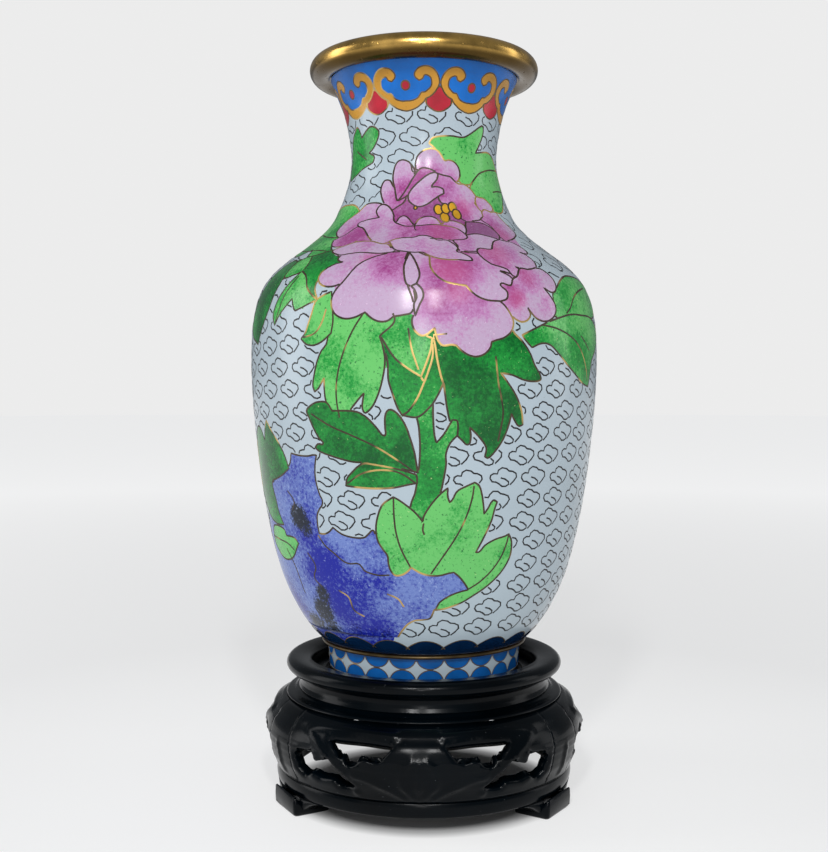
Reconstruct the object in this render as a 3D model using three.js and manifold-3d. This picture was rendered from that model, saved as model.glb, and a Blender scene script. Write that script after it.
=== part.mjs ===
// Cloisonne vase on a carved, black lacquered three-legged stand.
// Millimetres, +Z up, the axis of the vase and stand on Z, the front towards -Y.
import * as THREE from "three";
import { mergeVertices } from "three/addons/utils/BufferGeometryUtils.js";
import Module from "manifold-3d";

const wasm = await Module();
wasm.setup();

// Overall sizes of the vase.
const bellyRadius = 57.4;
const bodyHeight = 184.85;
const footHeight = 11.4;
const rimTubeRadius = 3.9;

// Thickness of each layer of the wall, from the outside in.
const enamelThickness = 0.9;
const copperThickness = 1.1;
const liningThickness = 0.5;
const layerGap = 0.15;
const seamGap = 0.06;

// Overall sizes of the stand.
const padHeight = 5.8;
const baseRingHeight = 5.0;
const shellHeight = 22.8;
const mouldingHeight = 2.1;
const waistHeight = 5.3;
const topRingHeight = 4.9;
const shellThickness = 3.6;
const legThickness = 5.0;
const seatThickness = 2.5;
const seatClearance = 0.15;
const footToWell = 5.4;
const baseRingWidth = 6.0;
const padHalfWidth = 8.0;
const padOverhang = 2.5;
const padDepth = 13.0;
const bracketReach = 8.2;
const standTurn = THREE.MathUtils.degToRad(-2);
const legCount = 3;
const legHalfAngle = THREE.MathUtils.degToRad(8.5);
const jointGapAngle = THREE.MathUtils.degToRad(0.17);

// Sides of every turned piece, and rings of the wall between two points of its outline.
const turns = 28;
const ringsPerSpan = 2;

// The outline of the body from foot wire to lip, as shares of the belly radius and the body height.
const bodyShares = [
  [0.59, 0.0], [0.69, 0.035], [0.821, 0.116], [0.926, 0.253], [0.993, 0.44], [0.983, 0.575],
  [0.889, 0.645], [0.7, 0.694], [0.544, 0.738], [0.448, 0.804], [0.42, 0.864], [0.464, 0.943],
  [0.54, 1.0],
];

// Levels of the stand, from the table up.
const baseRingBottom = padHeight;
const shellBottom = baseRingBottom + baseRingHeight;
const shellTop = shellBottom + shellHeight;
const waistBottom = shellTop + mouldingHeight;
const waistTop = waistBottom + waistHeight;
const standTop = waistTop + topRingHeight;
const seatTop = waistTop - 0.8;
const seatBottom = seatTop - seatThickness;

// Levels and radii of the foot of the vase.
const footRadius = 0.551 * bellyRadius;
const footTopRadius = 0.561 * bellyRadius;
const footBottom = seatTop + seatClearance;
const bodyBottom = footBottom + footHeight;
const footEdgeHeight = 2.3;
const footWireHeight = 1.15;

// Radii of the stand.
const wellRadius = footRadius + footToWell;
const topRingTube = topRingHeight / 2;
const topRingRadius = wellRadius + 6.6;
const waistRadius = wellRadius + 3.0;
const shellTopRadius = waistRadius + 6.0;
const shellBellyRadius = waistRadius + 13.2;
const shellFootRadius = waistRadius + 9.3;

const enamelInner = enamelThickness;
const copperOuter = enamelInner + layerGap;
const copperInner = copperOuter + copperThickness;
const liningOuter = copperInner + layerGap;
const liningInner = liningOuter + liningThickness;

// ---------------------------------------------------------------- helpers

// Turns any closed triangle geometry into a solid with outward faces.
function solidFrom(geometry) {
  const bare = geometry.clone();
  bare.deleteAttribute("normal");
  bare.deleteAttribute("uv");
  const merged = mergeVertices(bare, 1e-5);
  const corners = [];
  const index = merged.index.array;
  for (let i = 0; i < index.length; i += 3) {
    const [a, b, c] = [index[i], index[i + 1], index[i + 2]];
    if (a !== b && b !== c && c !== a) {
      corners.push(a, b, c);
    }
  }
  const places = new Float32Array(merged.attributes.position.array);
  if (signedVolume(places, corners) < 0) {
    for (let i = 0; i < corners.length; i += 3) {
      [corners[i + 1], corners[i + 2]] = [corners[i + 2], corners[i + 1]];
    }
  }
  const mesh = new wasm.Mesh({
    numProp: 3,
    vertProperties: places,
    triVerts: new Uint32Array(corners),
  });
  return new wasm.Manifold(mesh);
}

function signedVolume(places, corners) {
  const a = new THREE.Vector3();
  const b = new THREE.Vector3();
  const c = new THREE.Vector3();
  let sum = 0;
  for (let i = 0; i < corners.length; i += 3) {
    a.fromArray(places, 3 * corners[i]);
    b.fromArray(places, 3 * corners[i + 1]);
    c.fromArray(places, 3 * corners[i + 2]);
    sum += a.dot(b.cross(c)) / 6;
  }
  return sum;
}

function geometryFrom(solid) {
  const mesh = solid.getMesh();
  const geometry = new THREE.BufferGeometry();
  geometry.setAttribute("position", new THREE.BufferAttribute(mesh.vertProperties, 3));
  geometry.setIndex(new THREE.BufferAttribute(mesh.triVerts, 1));
  geometry.computeVertexNormals();
  return geometry;
}

// A solid of revolution about Z from a closed list of [radius, height].
function turned(outline, turn = 0) {
  const closed = outline.map(([r, z]) => new THREE.Vector2(r, z));
  if (outline[0][0] > 0 || outline.at(-1)[0] > 0) {
    closed.push(closed[0].clone());
  }
  const geometry = new THREE.LatheGeometry(closed, turns);
  geometry.rotateX(Math.PI / 2);
  geometry.rotateZ(turn);
  return solidFrom(geometry);
}

// A flat outline of [x, y] pushed up from one height to another.
function raised(outline, bottom, top) {
  const shape = new THREE.Shape(outline.map(([x, y]) => new THREE.Vector2(x, y)));
  const geometry = new THREE.ExtrudeGeometry(shape, { depth: top - bottom, bevelEnabled: false });
  geometry.translate(0, 0, bottom);
  return solidFrom(geometry);
}

// An upright shape, width by height, stretched across and up, then pushed outwards from one
// radius to another at an azimuth. Azimuth 0 is the front of the stand and counts towards +X.
function pushedOut(shape, near, far, azimuth, across = 1, up = 1) {
  const geometry = new THREE.ExtrudeGeometry(shape, {
    depth: far - near, bevelEnabled: false, curveSegments: 3,
  });
  geometry.scale(across, up, 1);
  geometry.rotateX(Math.PI / 2);
  geometry.translate(0, -near, 0);
  geometry.rotateZ(azimuth);
  return solidFrom(geometry);
}

// A wedge about the Z axis that is wider than the stand.
function wedge(from, to, bottom, top) {
  const far = 1.6 * shellBellyRadius;
  const outline = [[0, 0]];
  const steps = 6;
  for (let i = 0; i <= steps; i += 1) {
    const angle = from + (to - from) * i / steps;
    outline.push([far * Math.sin(angle), -far * Math.cos(angle)]);
  }
  return raised(outline, bottom, top);
}

function piece(name, solid, finish) {
  const material = new THREE.MeshStandardMaterial(finish);
  const mesh = new THREE.Mesh(geometryFrom(solid), material);
  mesh.name = name;
  return mesh;
}

// ---------------------------------------------------------------- the wall of the vase

const bodyCurve = new THREE.SplineCurve(
  bodyShares.map(([r, z]) => new THREE.Vector2(r * bellyRadius, bodyBottom + z * bodyHeight)),
);
const ringCount = ringsPerSpan * (bodyShares.length - 1);

// The point of one ring of the wall, moved inwards by a depth and along the wall by a shift.
// Every layer ends level at the lip.
function wallPoint(ring, depth, shift = 0) {
  const share = ring / ringCount;
  const point = bodyCurve.getPoint(share);
  const along = bodyCurve.getTangent(share);
  let slide = shift;
  if (ring === ringCount) {
    slide -= along.x * depth / along.y;
  }
  return [
    point.x - along.y * depth + along.x * slide,
    point.y + along.x * depth + along.y * slide,
  ];
}

// One layer of the wall between two rings, with a hair of space left at each end.
function wallLayer(firstRing, lastRing, outer, inner) {
  const outside = [];
  const inside = [];
  for (let ring = firstRing; ring <= lastRing; ring += 1) {
    let shift = 0;
    if (ring === firstRing) {
      shift = seamGap;
    }
    if (ring === lastRing) {
      shift = -seamGap;
    }
    outside.push(wallPoint(ring, outer, shift));
    inside.unshift(wallPoint(ring, inner, shift));
  }
  return turned([...outside, ...inside]);
}

// The level of the floor inside the body at a depth below the enamel's outer face. The floor dips
// under the first ring, and its layers lie a little further apart than those of the wall.
const floorDip = 0.7;
const floorSpread = 1.05;

function floorLevel(depth) {
  return wallPoint(0, copperOuter)[1] - floorDip + floorSpread * (depth - copperOuter);
}

// A layer that starts as a flat floor on the axis and climbs the wall.
function bowlLayer(lastRing, outer, inner) {
  const edge = footTopRadius - copperInner;
  const outside = [[0, floorLevel(outer)], [edge, floorLevel(outer)]];
  const inside = [[edge, floorLevel(inner)], [0, floorLevel(inner)]];
  for (let ring = 0; ring <= lastRing; ring += 1) {
    let shift = 0;
    if (ring === lastRing) {
      shift = -seamGap;
    }
    outside.push(wallPoint(ring, outer, shift));
    inside.unshift(wallPoint(ring, inner, shift));
  }
  return turned([...outside, ...inside]);
}

// Rings of the wall where one piece ends and the next begins.
const scallopEnd = 2;
const lowerCopperEnd = 8;
const upperCopperEnd = 16;
const collarStart = 21;

// ---------------------------------------------------------------- the mouth and the foot

// A rolled ring with an inner lip that sits on the edge of the copper neck. Its tube stands
// above its seat and outside the lip by these shares of its own radius.
const tubeRise = 0.66;
const tubeReach = 0.77;
const innerLipWidth = 1.1;

function mouthRim() {
  const [lipRadius, lipHeight] = wallPoint(ringCount, 0);
  const seat = lipHeight + 2 * layerGap;
  const centreHeight = seat + tubeRise * rimTubeRadius;
  const centreRadius = lipRadius + tubeReach * rimTubeRadius;
  const start = Math.PI + Math.asin((centreHeight - seat) / rimTubeRadius);
  const end = Math.PI * 5 / 6 + 2 * Math.PI;
  const steps = 11;
  const outline = [];
  for (let i = 0; i <= steps; i += 1) {
    const angle = start + (end - start) * i / steps;
    outline.push([
      centreRadius + rimTubeRadius * Math.cos(angle),
      centreHeight + rimTubeRadius * Math.sin(angle),
    ]);
  }
  const insideRadius = wallPoint(ringCount, liningInner)[0];
  outline.push([insideRadius + innerLipWidth, centreHeight]);
  outline.push([insideRadius, seat]);
  return turned(outline);
}

const footSlope = (footTopRadius - footRadius) / footHeight;

function footRadiusAt(height) {
  return footRadius + footSlope * (height - footBottom);
}

// A ring of the foot wall between two heights and two depths.
function footLayer(bottom, top, outer, inner) {
  return turned([
    [footRadiusAt(bottom) - outer, bottom],
    [footRadiusAt(top) - outer, top],
    [footRadiusAt(top) - inner, top],
    [footRadiusAt(bottom) - inner, bottom],
  ]);
}

const footWireBottom = bodyBottom - footWireHeight - layerGap;

// The gilt edge under the foot, rounded on its outside.
function footEdge() {
  const top = footBottom + footEdgeHeight;
  const round = 0.3 * footEdgeHeight;
  const outer = footRadiusAt(footBottom) + 0.2;
  const inner = footRadiusAt(footBottom) - copperInner;
  return turned([
    [inner, footBottom], [outer - round, footBottom], [outer - 0.1, footBottom + round],
    [outer, top - 1.2 * round], [outer - 0.6 * round, top], [inner, top],
  ]);
}

// The round gilt wire between the foot and the flare of the body.
function footWire() {
  const middle = footWireBottom + footWireHeight / 2;
  const outer = wallPoint(0, 0)[0] + 0.3;
  const round = footWireHeight / 2;
  const inner = footRadiusAt(middle) - enamelInner;
  const top = footWireBottom + footWireHeight;
  return turned([
    [inner, footWireBottom], [outer - round, footWireBottom], [outer, middle],
    [outer - round, top], [inner, top],
  ]);
}

// ---------------------------------------------------------------- the stand

// The bulging outer outline of the stand from the base ring up to the moulding.
function shellCurve() {
  const outline = [
    [shellFootRadius, 0], [shellFootRadius + 2.4, 0.22], [shellBellyRadius - 0.3, 0.45],
    [shellBellyRadius - 0.4, 0.67], [shellBellyRadius - 3.2, 0.85], [shellTopRadius, 1],
  ];
  return new THREE.SplineCurve(
    outline.map(([radius, share]) => new THREE.Vector2(radius, shellBottom + share * shellHeight)),
  );
}

// The inner side of the shell at a share of its outline. Near level stretches of the outside
// it turns less than the outside does, and it stays between the shell's two ends.
const innerLift = 0.65;
const leastAlong = 0.75;
const innerTopStep = 1.2;

function shellInside(share, thickness) {
  if (share === 1) {
    return [shellTopRadius - thickness - innerTopStep, shellTop];
  }
  const point = shellCurve().getPoint(share);
  const along = shellCurve().getTangent(share);
  const height = point.y + innerLift * along.x * thickness;
  return [
    point.x - thickness * Math.max(along.y, leastAlong),
    THREE.MathUtils.clamp(height, shellBottom, shellTop),
  ];
}

// The shell of the stand all the way round, before it is divided.
function shellOf(thickness) {
  const steps = 6;
  const outside = shellCurve().getPoints(steps).map((point) => [point.x, point.y]);
  const inside = outside.map((point, i) => shellInside(i / steps, thickness));
  return turned([...outside, ...inside.reverse()], standTurn);
}

// Shapes of the two kinds of opening, in millimetres across and up from the middle of each, as
// drawn for a shell of openingRadius and openingHeight. They stretch with the shell.
// side is +1 for the right of a panel and -1 for the left.
const openingRadius = 53.2;
const openingHeight = 22.8;

function upperOpening(side) {
  const shape = new THREE.Shape();
  shape.moveTo(side * 12.6, 3.4);
  shape.quadraticCurveTo(side * 3, 4.3, side * -10.4, 3.2);
  shape.quadraticCurveTo(side * -10.2, 0.6, side * -6.4, -0.2);
  shape.quadraticCurveTo(side * -2.6, -1.2, side * -1.2, -0.4);
  shape.quadraticCurveTo(side * 0.4, 0.4, side * 2.6, -2.4);
  shape.lineTo(side * 5.2, -4.4);
  shape.quadraticCurveTo(side * 8.2, -1.6, side * 12.6, 3.4);
  return shape;
}

function lowerOpening(side) {
  const shape = new THREE.Shape();
  shape.moveTo(side * -11.6, -4.3);
  shape.quadraticCurveTo(side * -9.4, -5.2, side * -6.6, -4.6);
  shape.quadraticCurveTo(side * -5.4, -3.2, side * -3.2, -3.5);
  shape.quadraticCurveTo(side * 1.2, -3.9, side * 4.6, -3.1);
  shape.quadraticCurveTo(side * 8.6, -6.2, side * 10.6, -3.0);
  shape.quadraticCurveTo(side * 12.4, 2.2, side * 7.6, 4.8);
  shape.quadraticCurveTo(side * 5.4, 6.2, side * 2.6, 5.7);
  shape.quadraticCurveTo(side * 3.0, 2.4, side * 1.0, 1.9);
  shape.quadraticCurveTo(side * -1.0, 3.6, side * -3.4, 3.4);
  shape.quadraticCurveTo(side * -5.6, 0.4, side * -11.6, -4.3);
  return shape;
}

const upperOpeningAzimuth = THREE.MathUtils.degToRad(20);
const lowerOpeningAzimuth = THREE.MathUtils.degToRad(36.5);
const upperOpeningHeight = shellBottom + 0.62 * shellHeight;
const lowerOpeningHeight = shellBottom + 0.36 * shellHeight;

function openingCutter(shape, height, azimuth) {
  const near = shellFootRadius - 3 * shellThickness;
  const far = shellBellyRadius + 2 * shellThickness;
  const across = shellBellyRadius / openingRadius;
  const up = shellHeight / openingHeight;
  return pushedOut(shape, near, far, azimuth, across, up).translate([0, 0, height]);
}

// One pierced panel, its middle at an azimuth.
function apronPanel(shell, azimuth) {
  const half = Math.PI / legCount - legHalfAngle - jointGapAngle;
  const sector = wedge(azimuth - half, azimuth + half, shellBottom - 1, shellTop + 1);
  let panel = shell.intersect(sector);
  for (const side of [-1, 1]) {
    const upper = azimuth + side * upperOpeningAzimuth;
    const lower = azimuth + side * lowerOpeningAzimuth;
    panel = panel.subtract(openingCutter(upperOpening(side), upperOpeningHeight, upper));
    panel = panel.subtract(openingCutter(lowerOpening(side), lowerOpeningHeight, lower));
  }
  return panel;
}

// The part of the shell between two panels.
function leg(shell, azimuth) {
  const sector = wedge(azimuth - legHalfAngle, azimuth + legHalfAngle, shellBottom - 1, shellTop + 1);
  return shell.intersect(sector);
}

// A square foot with curved brackets that spread along the underside of the base ring.
function footPad(azimuth) {
  const outFace = shellFootRadius + padOverhang;
  const topLevel = padHeight - seamGap;
  const blockTop = 0.78 * topLevel;
  const draft = 0.4;
  const block = new THREE.Shape();
  block.moveTo(-padHalfWidth, 0);
  block.lineTo(padHalfWidth, 0);
  block.lineTo(padHalfWidth - draft, blockTop);
  block.lineTo(draft - padHalfWidth, blockTop);
  const body = pushedOut(block, outFace - padDepth, outFace, azimuth);
  const far = shellFootRadius - draft;
  const near = shellFootRadius - baseRingWidth;
  const round = turned([[near, -1], [far, -1], [far, padHeight + 1], [near, padHeight + 1]], standTurn);
  const arms = pushedOut(bracketShape(topLevel), near, shellFootRadius, azimuth);
  return body.add(arms.intersect(round));
}

// The outline of the two brackets that spread to the sides of a foot.
function bracketShape(topLevel) {
  const end = padHalfWidth + bracketReach;
  const bend = padHalfWidth + 0.4 * bracketReach;
  const endHeight = topLevel - 0.3;
  const bendHeight = topLevel - 1.2;
  const bracket = new THREE.Shape();
  bracket.moveTo(-padHalfWidth, 0.6);
  bracket.lineTo(padHalfWidth, 0.6);
  bracket.quadraticCurveTo(bend, bendHeight, end, endHeight);
  bracket.lineTo(end, topLevel);
  bracket.lineTo(-end, topLevel);
  bracket.lineTo(-end, endHeight);
  bracket.quadraticCurveTo(-bend, bendHeight, -padHalfWidth, 0.6);
  return bracket;
}

// The ring under the shell, its outer edges broken.
function baseRing() {
  const outer = shellFootRadius;
  return turned([
    [outer - baseRingWidth, baseRingBottom], [outer - 0.5, baseRingBottom],
    [outer, baseRingBottom + 0.7], [outer, shellBottom - 0.9],
    [outer - 0.6, shellBottom - seamGap], [outer - baseRingWidth, shellBottom - seamGap],
  ], standTurn);
}

// A flat fillet on the shell with a step up to the waist.
function mouldingRing() {
  const inner = waistRadius - 3.8;
  const bottom = shellTop + seamGap;
  const top = waistBottom;
  return turned([
    [inner, bottom], [shellTopRadius - 0.9, bottom], [shellTopRadius - 0.7, bottom + 0.9],
    [waistRadius + 2.7, bottom + 1.1], [waistRadius + 2.5, top - 0.2], [waistRadius + 2.1, top],
    [inner, top],
  ], standTurn);
}

// The waist carries the top ring and has an inner ledge for the seat board.
function waistRing() {
  const ledge = wellRadius - 4;
  const bottom = waistBottom + seamGap;
  return turned([
    [ledge, bottom], [waistRadius + 1.1, bottom], [waistRadius, bottom + 1.1],
    [waistRadius, waistTop], [wellRadius, waistTop], [wellRadius, seatBottom - seamGap],
    [ledge, seatBottom - seamGap],
  ], standTurn);
}

// The round board that closes the well and carries the vase.
function seatBoard() {
  const edge = wellRadius - 0.3;
  return turned([[0, seatBottom], [edge, seatBottom], [edge, seatTop], [0, seatTop]], standTurn);
}

// The top ring is a bullnose outside and drops into the well inside.
function topRing() {
  const bottom = waistTop + seamGap;
  const top = standTop;
  const middle = (bottom + top) / 2;
  const steps = 7;
  const outline = [[wellRadius, bottom]];
  for (let i = 0; i <= steps; i += 1) {
    const angle = -Math.PI / 2 + Math.PI * i / steps;
    outline.push([
      topRingRadius + topRingTube * Math.cos(angle),
      middle + (top - bottom) / 2 * Math.sin(angle),
    ]);
  }
  outline.push([wellRadius + 1.2, top - 0.3]);
  outline.push([wellRadius, top - 1.6]);
  return turned(outline, standTurn);
}

// ---------------------------------------------------------------- finishes

const copper = { color: 0xb4693a, roughness: 0.35, metalness: 1 };
const gilt = { color: 0xd9ae5a, roughness: 0.25, metalness: 1 };
const whiteEnamel = { color: 0xd4dfe8, roughness: 0.2, metalness: 0 };
const collarEnamel = { color: 0x2f6fb8, roughness: 0.2, metalness: 0 };
const scallopEnamel = { color: 0x1d3f7c, roughness: 0.2, metalness: 0 };
const footEnamel = { color: 0x3b80bf, roughness: 0.2, metalness: 0 };
const liningEnamel = { color: 0x3f9fb5, roughness: 0.3, metalness: 0 };
const lacquer = { color: 0x14161a, roughness: 0.25, metalness: 0 };

// ---------------------------------------------------------------- assembly

function vasePieces() {
  const discTop = floorLevel(copperOuter) - layerGap;
  const discBottom = discTop - enamelThickness;
  const discRadius = footRadius - copperInner - layerGap;
  const baseDisc = turned([[0, discBottom], [discRadius, discBottom], [discRadius, discTop], [0, discTop]]);
  const footTop = floorLevel(copperOuter) - seamGap;
  const edgeTop = footBottom + footEdgeHeight;
  const bandBottom = edgeTop + seamGap;
  const bandTop = footWireBottom - seamGap;
  return [
    piece("copper_body_lower", bowlLayer(lowerCopperEnd, copperOuter, copperInner), copper),
    piece("copper_body_upper", wallLayer(lowerCopperEnd, upperCopperEnd, copperOuter, copperInner),
      copper),
    piece("copper_neck", wallLayer(upperCopperEnd, ringCount, copperOuter, copperInner), copper),
    piece("copper_foot_ring", footLayer(bandBottom, footTop, copperOuter, copperInner), copper),
    piece("gilt_mouth_rim", mouthRim(), gilt),
    piece("gilt_foot_edge", footEdge(), gilt),
    piece("gilt_foot_wire", footWire(), gilt),
    piece("enamel_foot_band", footLayer(bandBottom, bandTop, 0, enamelInner), footEnamel),
    piece("enamel_scallop_band", wallLayer(0, scallopEnd, 0, enamelInner), scallopEnamel),
    piece("enamel_body_ground", wallLayer(scallopEnd, collarStart, 0, enamelInner), whiteEnamel),
    piece("enamel_collar_band", wallLayer(collarStart, ringCount, 0, enamelInner), collarEnamel),
    piece("counter_enamel_lining", bowlLayer(ringCount, liningOuter, liningInner), liningEnamel),
    piece("counter_enamel_base", baseDisc, liningEnamel),
  ];
}

function standPieces() {
  const pieces = [
    piece("stand_top_ring", topRing(), lacquer),
    piece("stand_seat_board", seatBoard(), lacquer),
    piece("stand_waist_ring", waistRing(), lacquer),
    piece("stand_moulding_ring", mouldingRing(), lacquer),
    piece("stand_base_ring", baseRing(), lacquer),
  ];
  const panelShell = shellOf(shellThickness);
  const legShell = shellOf(legThickness);
  for (let i = 0; i < legCount; i += 1) {
    const panelAzimuth = standTurn + i * 2 * Math.PI / legCount;
    const legAzimuth = panelAzimuth + Math.PI / legCount;
    pieces.push(piece(`apron_panel_${i + 1}`, apronPanel(panelShell, panelAzimuth), lacquer));
    pieces.push(piece(`leg_${i + 1}`, leg(legShell, legAzimuth), lacquer));
    pieces.push(piece(`foot_pad_${i + 1}`, footPad(legAzimuth), lacquer));
  }
  return pieces;
}

const vaseOnStand = new THREE.Group();
vaseOnStand.name = "cloisonne_vase";
for (const mesh of [...vasePieces(), ...standPieces()]) {
  vaseOnStand.add(mesh);
}

export default vaseOnStand;
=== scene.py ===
import math

import bmesh
import bpy
import numpy as np
from bpy.props import FloatProperty, FloatVectorProperty, IntProperty, PointerProperty
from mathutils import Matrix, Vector
from mathutils.geometry import delaunay_2d_cdt


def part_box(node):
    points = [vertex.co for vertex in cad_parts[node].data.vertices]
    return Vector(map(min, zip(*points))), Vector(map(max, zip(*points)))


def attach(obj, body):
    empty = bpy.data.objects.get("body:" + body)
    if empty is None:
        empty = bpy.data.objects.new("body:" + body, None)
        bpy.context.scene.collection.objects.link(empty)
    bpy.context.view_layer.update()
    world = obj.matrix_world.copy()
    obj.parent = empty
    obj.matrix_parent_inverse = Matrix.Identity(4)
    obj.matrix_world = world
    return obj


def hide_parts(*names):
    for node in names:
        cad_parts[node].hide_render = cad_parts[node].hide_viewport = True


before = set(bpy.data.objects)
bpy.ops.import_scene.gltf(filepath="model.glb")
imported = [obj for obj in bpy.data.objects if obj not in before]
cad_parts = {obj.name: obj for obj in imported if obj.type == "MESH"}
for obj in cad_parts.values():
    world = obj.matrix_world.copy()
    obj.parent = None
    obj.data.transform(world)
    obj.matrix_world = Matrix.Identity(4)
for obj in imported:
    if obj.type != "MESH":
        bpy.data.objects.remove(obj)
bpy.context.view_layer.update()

bl_info = {
    "name": "Cloisonne Vase on a Lacquer Stand",
    "version": (1, 0, 0),
    "blender": (4, 5, 0),
    "location": "View3D > Sidebar > Vase",
    "description": "Enamels, wires, gilding and carved stand of a cloisonne vase",
    "category": "Object",
}

MM = 0.001
DEG = math.pi / 180


# ------------------------------------------------------------------ sizes and colours

def length(name, description, default):
    """A length in millimetres."""
    return FloatProperty(name=name, description=description, default=default, min=0.0)


def colour(name, description, default):
    """A display colour, given as 0 to 255 red, green and blue."""
    linear = [(c / 255 / 12.92 if c < 11 else ((c / 255 + 0.055) / 1.055) ** 2.4) for c in default]
    return FloatVectorProperty(name=name, description=description, default=linear, size=3,
                               subtype="COLOR", min=0.0, max=1.0)


class VaseSizes(bpy.types.PropertyGroup):
    wire_width: length("Picture wire", "Width of the wires of the picture, mm", 0.98)
    cloud_wire_width: length("Cloud wire", "Width of the cloud wires, mm", 1.0)
    wire_height: length("Wire height", "How far a wire stands above the enamel, mm", 0.07)
    lining_depth: length("Lining depth", "Depth of the lining's inner face, mm", 2.8)
    lining_thickness: length("Lining thickness", "Thickness of the lining, mm", 0.45)
    cloud_pitch: length("Cloud pitch", "Distance between clouds in a row, mm", 11.2)
    cloud_rise: length("Cloud rise", "Distance between rows of clouds, mm", 6.6)
    ruyi_heads: IntProperty(name="Ruyi heads", description="Heads round the collar", default=8)
    scallops: IntProperty(name="Scallops", description="Scallops above the foot wire", default=21)
    foot_discs: IntProperty(name="Foot discs", description="Half discs round the foot", default=23)


class StandSizes(bpy.types.PropertyGroup):
    panel_thickness: length("Panel thickness", "Thickness of a pierced panel, mm", 3.5)
    edge_round: length("Edge round", "Width of the rounded edges of the carving, mm", 1.3)
    carve_step: length("Carving step", "Spacing of the carved surface's points, mm", 0.75)


class VaseColours(bpy.types.PropertyGroup):
    ground: colour("Ground", "White enamel of the cloud ground", (167, 181, 190))
    petal_pale: colour("Petal edge", "Palest pink of the petals", (178, 154, 182))
    petal_mid: colour("Petal middle", "Lilac of the petals", (174, 120, 168))
    petal_deep: colour("Petal root", "Deep magenta of the petals", (146, 62, 126))
    petal_rose: colour("Petal rose", "Rose spots of the petals", (186, 90, 130))
    petal_mauve: colour("Petal shade", "Dark mauve of the turned petals", (112, 62, 104))
    leaf_light: colour("Leaf light", "Lightest green of the leaves", (98, 182, 98))
    leaf_mid: colour("Leaf middle", "Middle green of the leaves", (30, 142, 56))
    leaf_dark: colour("Leaf dark", "Darkest green of the leaves", (0, 80, 30))
    rock_light: colour("Rock light", "Periwinkle of the rock", (104, 124, 184))
    rock_deep: colour("Rock deep", "Ultramarine of the rock", (14, 26, 142))
    rock_black: colour("Rock black", "Blue black patches of the rock", (14, 24, 40))
    stamen: colour("Stamens", "Yellow of the stamens", (196, 148, 40))
    collar: colour("Collar", "Blue of the collar", (0, 100, 186))
    ruyi: colour("Ruyi", "Yellow of the ruyi heads", (186, 134, 44))
    drop: colour("Drops", "Red between the ruyi heads", (172, 28, 48))
    scallop: colour("Scallops", "Dark blue of the scallops", (6, 34, 66))
    foot: colour("Foot", "Blue of the half discs on the foot", (20, 92, 166))
    lining: colour("Lining", "Enamel inside the vase and under the foot", (60, 140, 165))
    lacquer: colour("Lacquer", "Black lacquer of the stand", (1, 4, 7))
    gilt: colour("Gilding", "Gilding of the rim and the foot edge", (236, 190, 104))


def sizes():
    return bpy.context.scene.vase_sizes


def carving():
    return bpy.context.scene.stand_sizes


def colours():
    return bpy.context.scene.vase_colours


# ------------------------------------------------------------------ finishes

class Value:
    """A number socket: sums written in Python become Math nodes."""

    def __init__(self, finish, socket):
        self.finish = finish
        self.socket = socket

    def math(self, operation, *others, clamp=False):
        inputs = {0: self.socket}
        for place, other in enumerate(others, 1):
            inputs[place] = other.socket if isinstance(other, Value) else other
        node = self.finish.node("ShaderNodeMath", dict(operation=operation, use_clamp=clamp), inputs)
        return Value(self.finish, node.outputs[0])

    def __add__(self, other):
        return self.math("ADD", other)

    def __sub__(self, other):
        return self.math("SUBTRACT", other)

    def __mul__(self, other):
        return self.math("MULTIPLY", other)

    def __rsub__(self, other):
        node = self.finish.node("ShaderNodeMath", dict(operation="SUBTRACT"), {0: other, 1: self.socket})
        return Value(self.finish, node.outputs[0])

    def steps(self, low, high):
        """0 below low, 1 above high and smooth between."""
        node = self.finish.node("ShaderNodeMapRange", dict(interpolation_type="SMOOTHSTEP"),
                                {"Value": self.socket, "From Min": low, "From Max": high})
        return Value(self.finish, node.outputs["Result"])

    def clamped(self):
        return self.math("ADD", 0.0, clamp=True)


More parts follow.
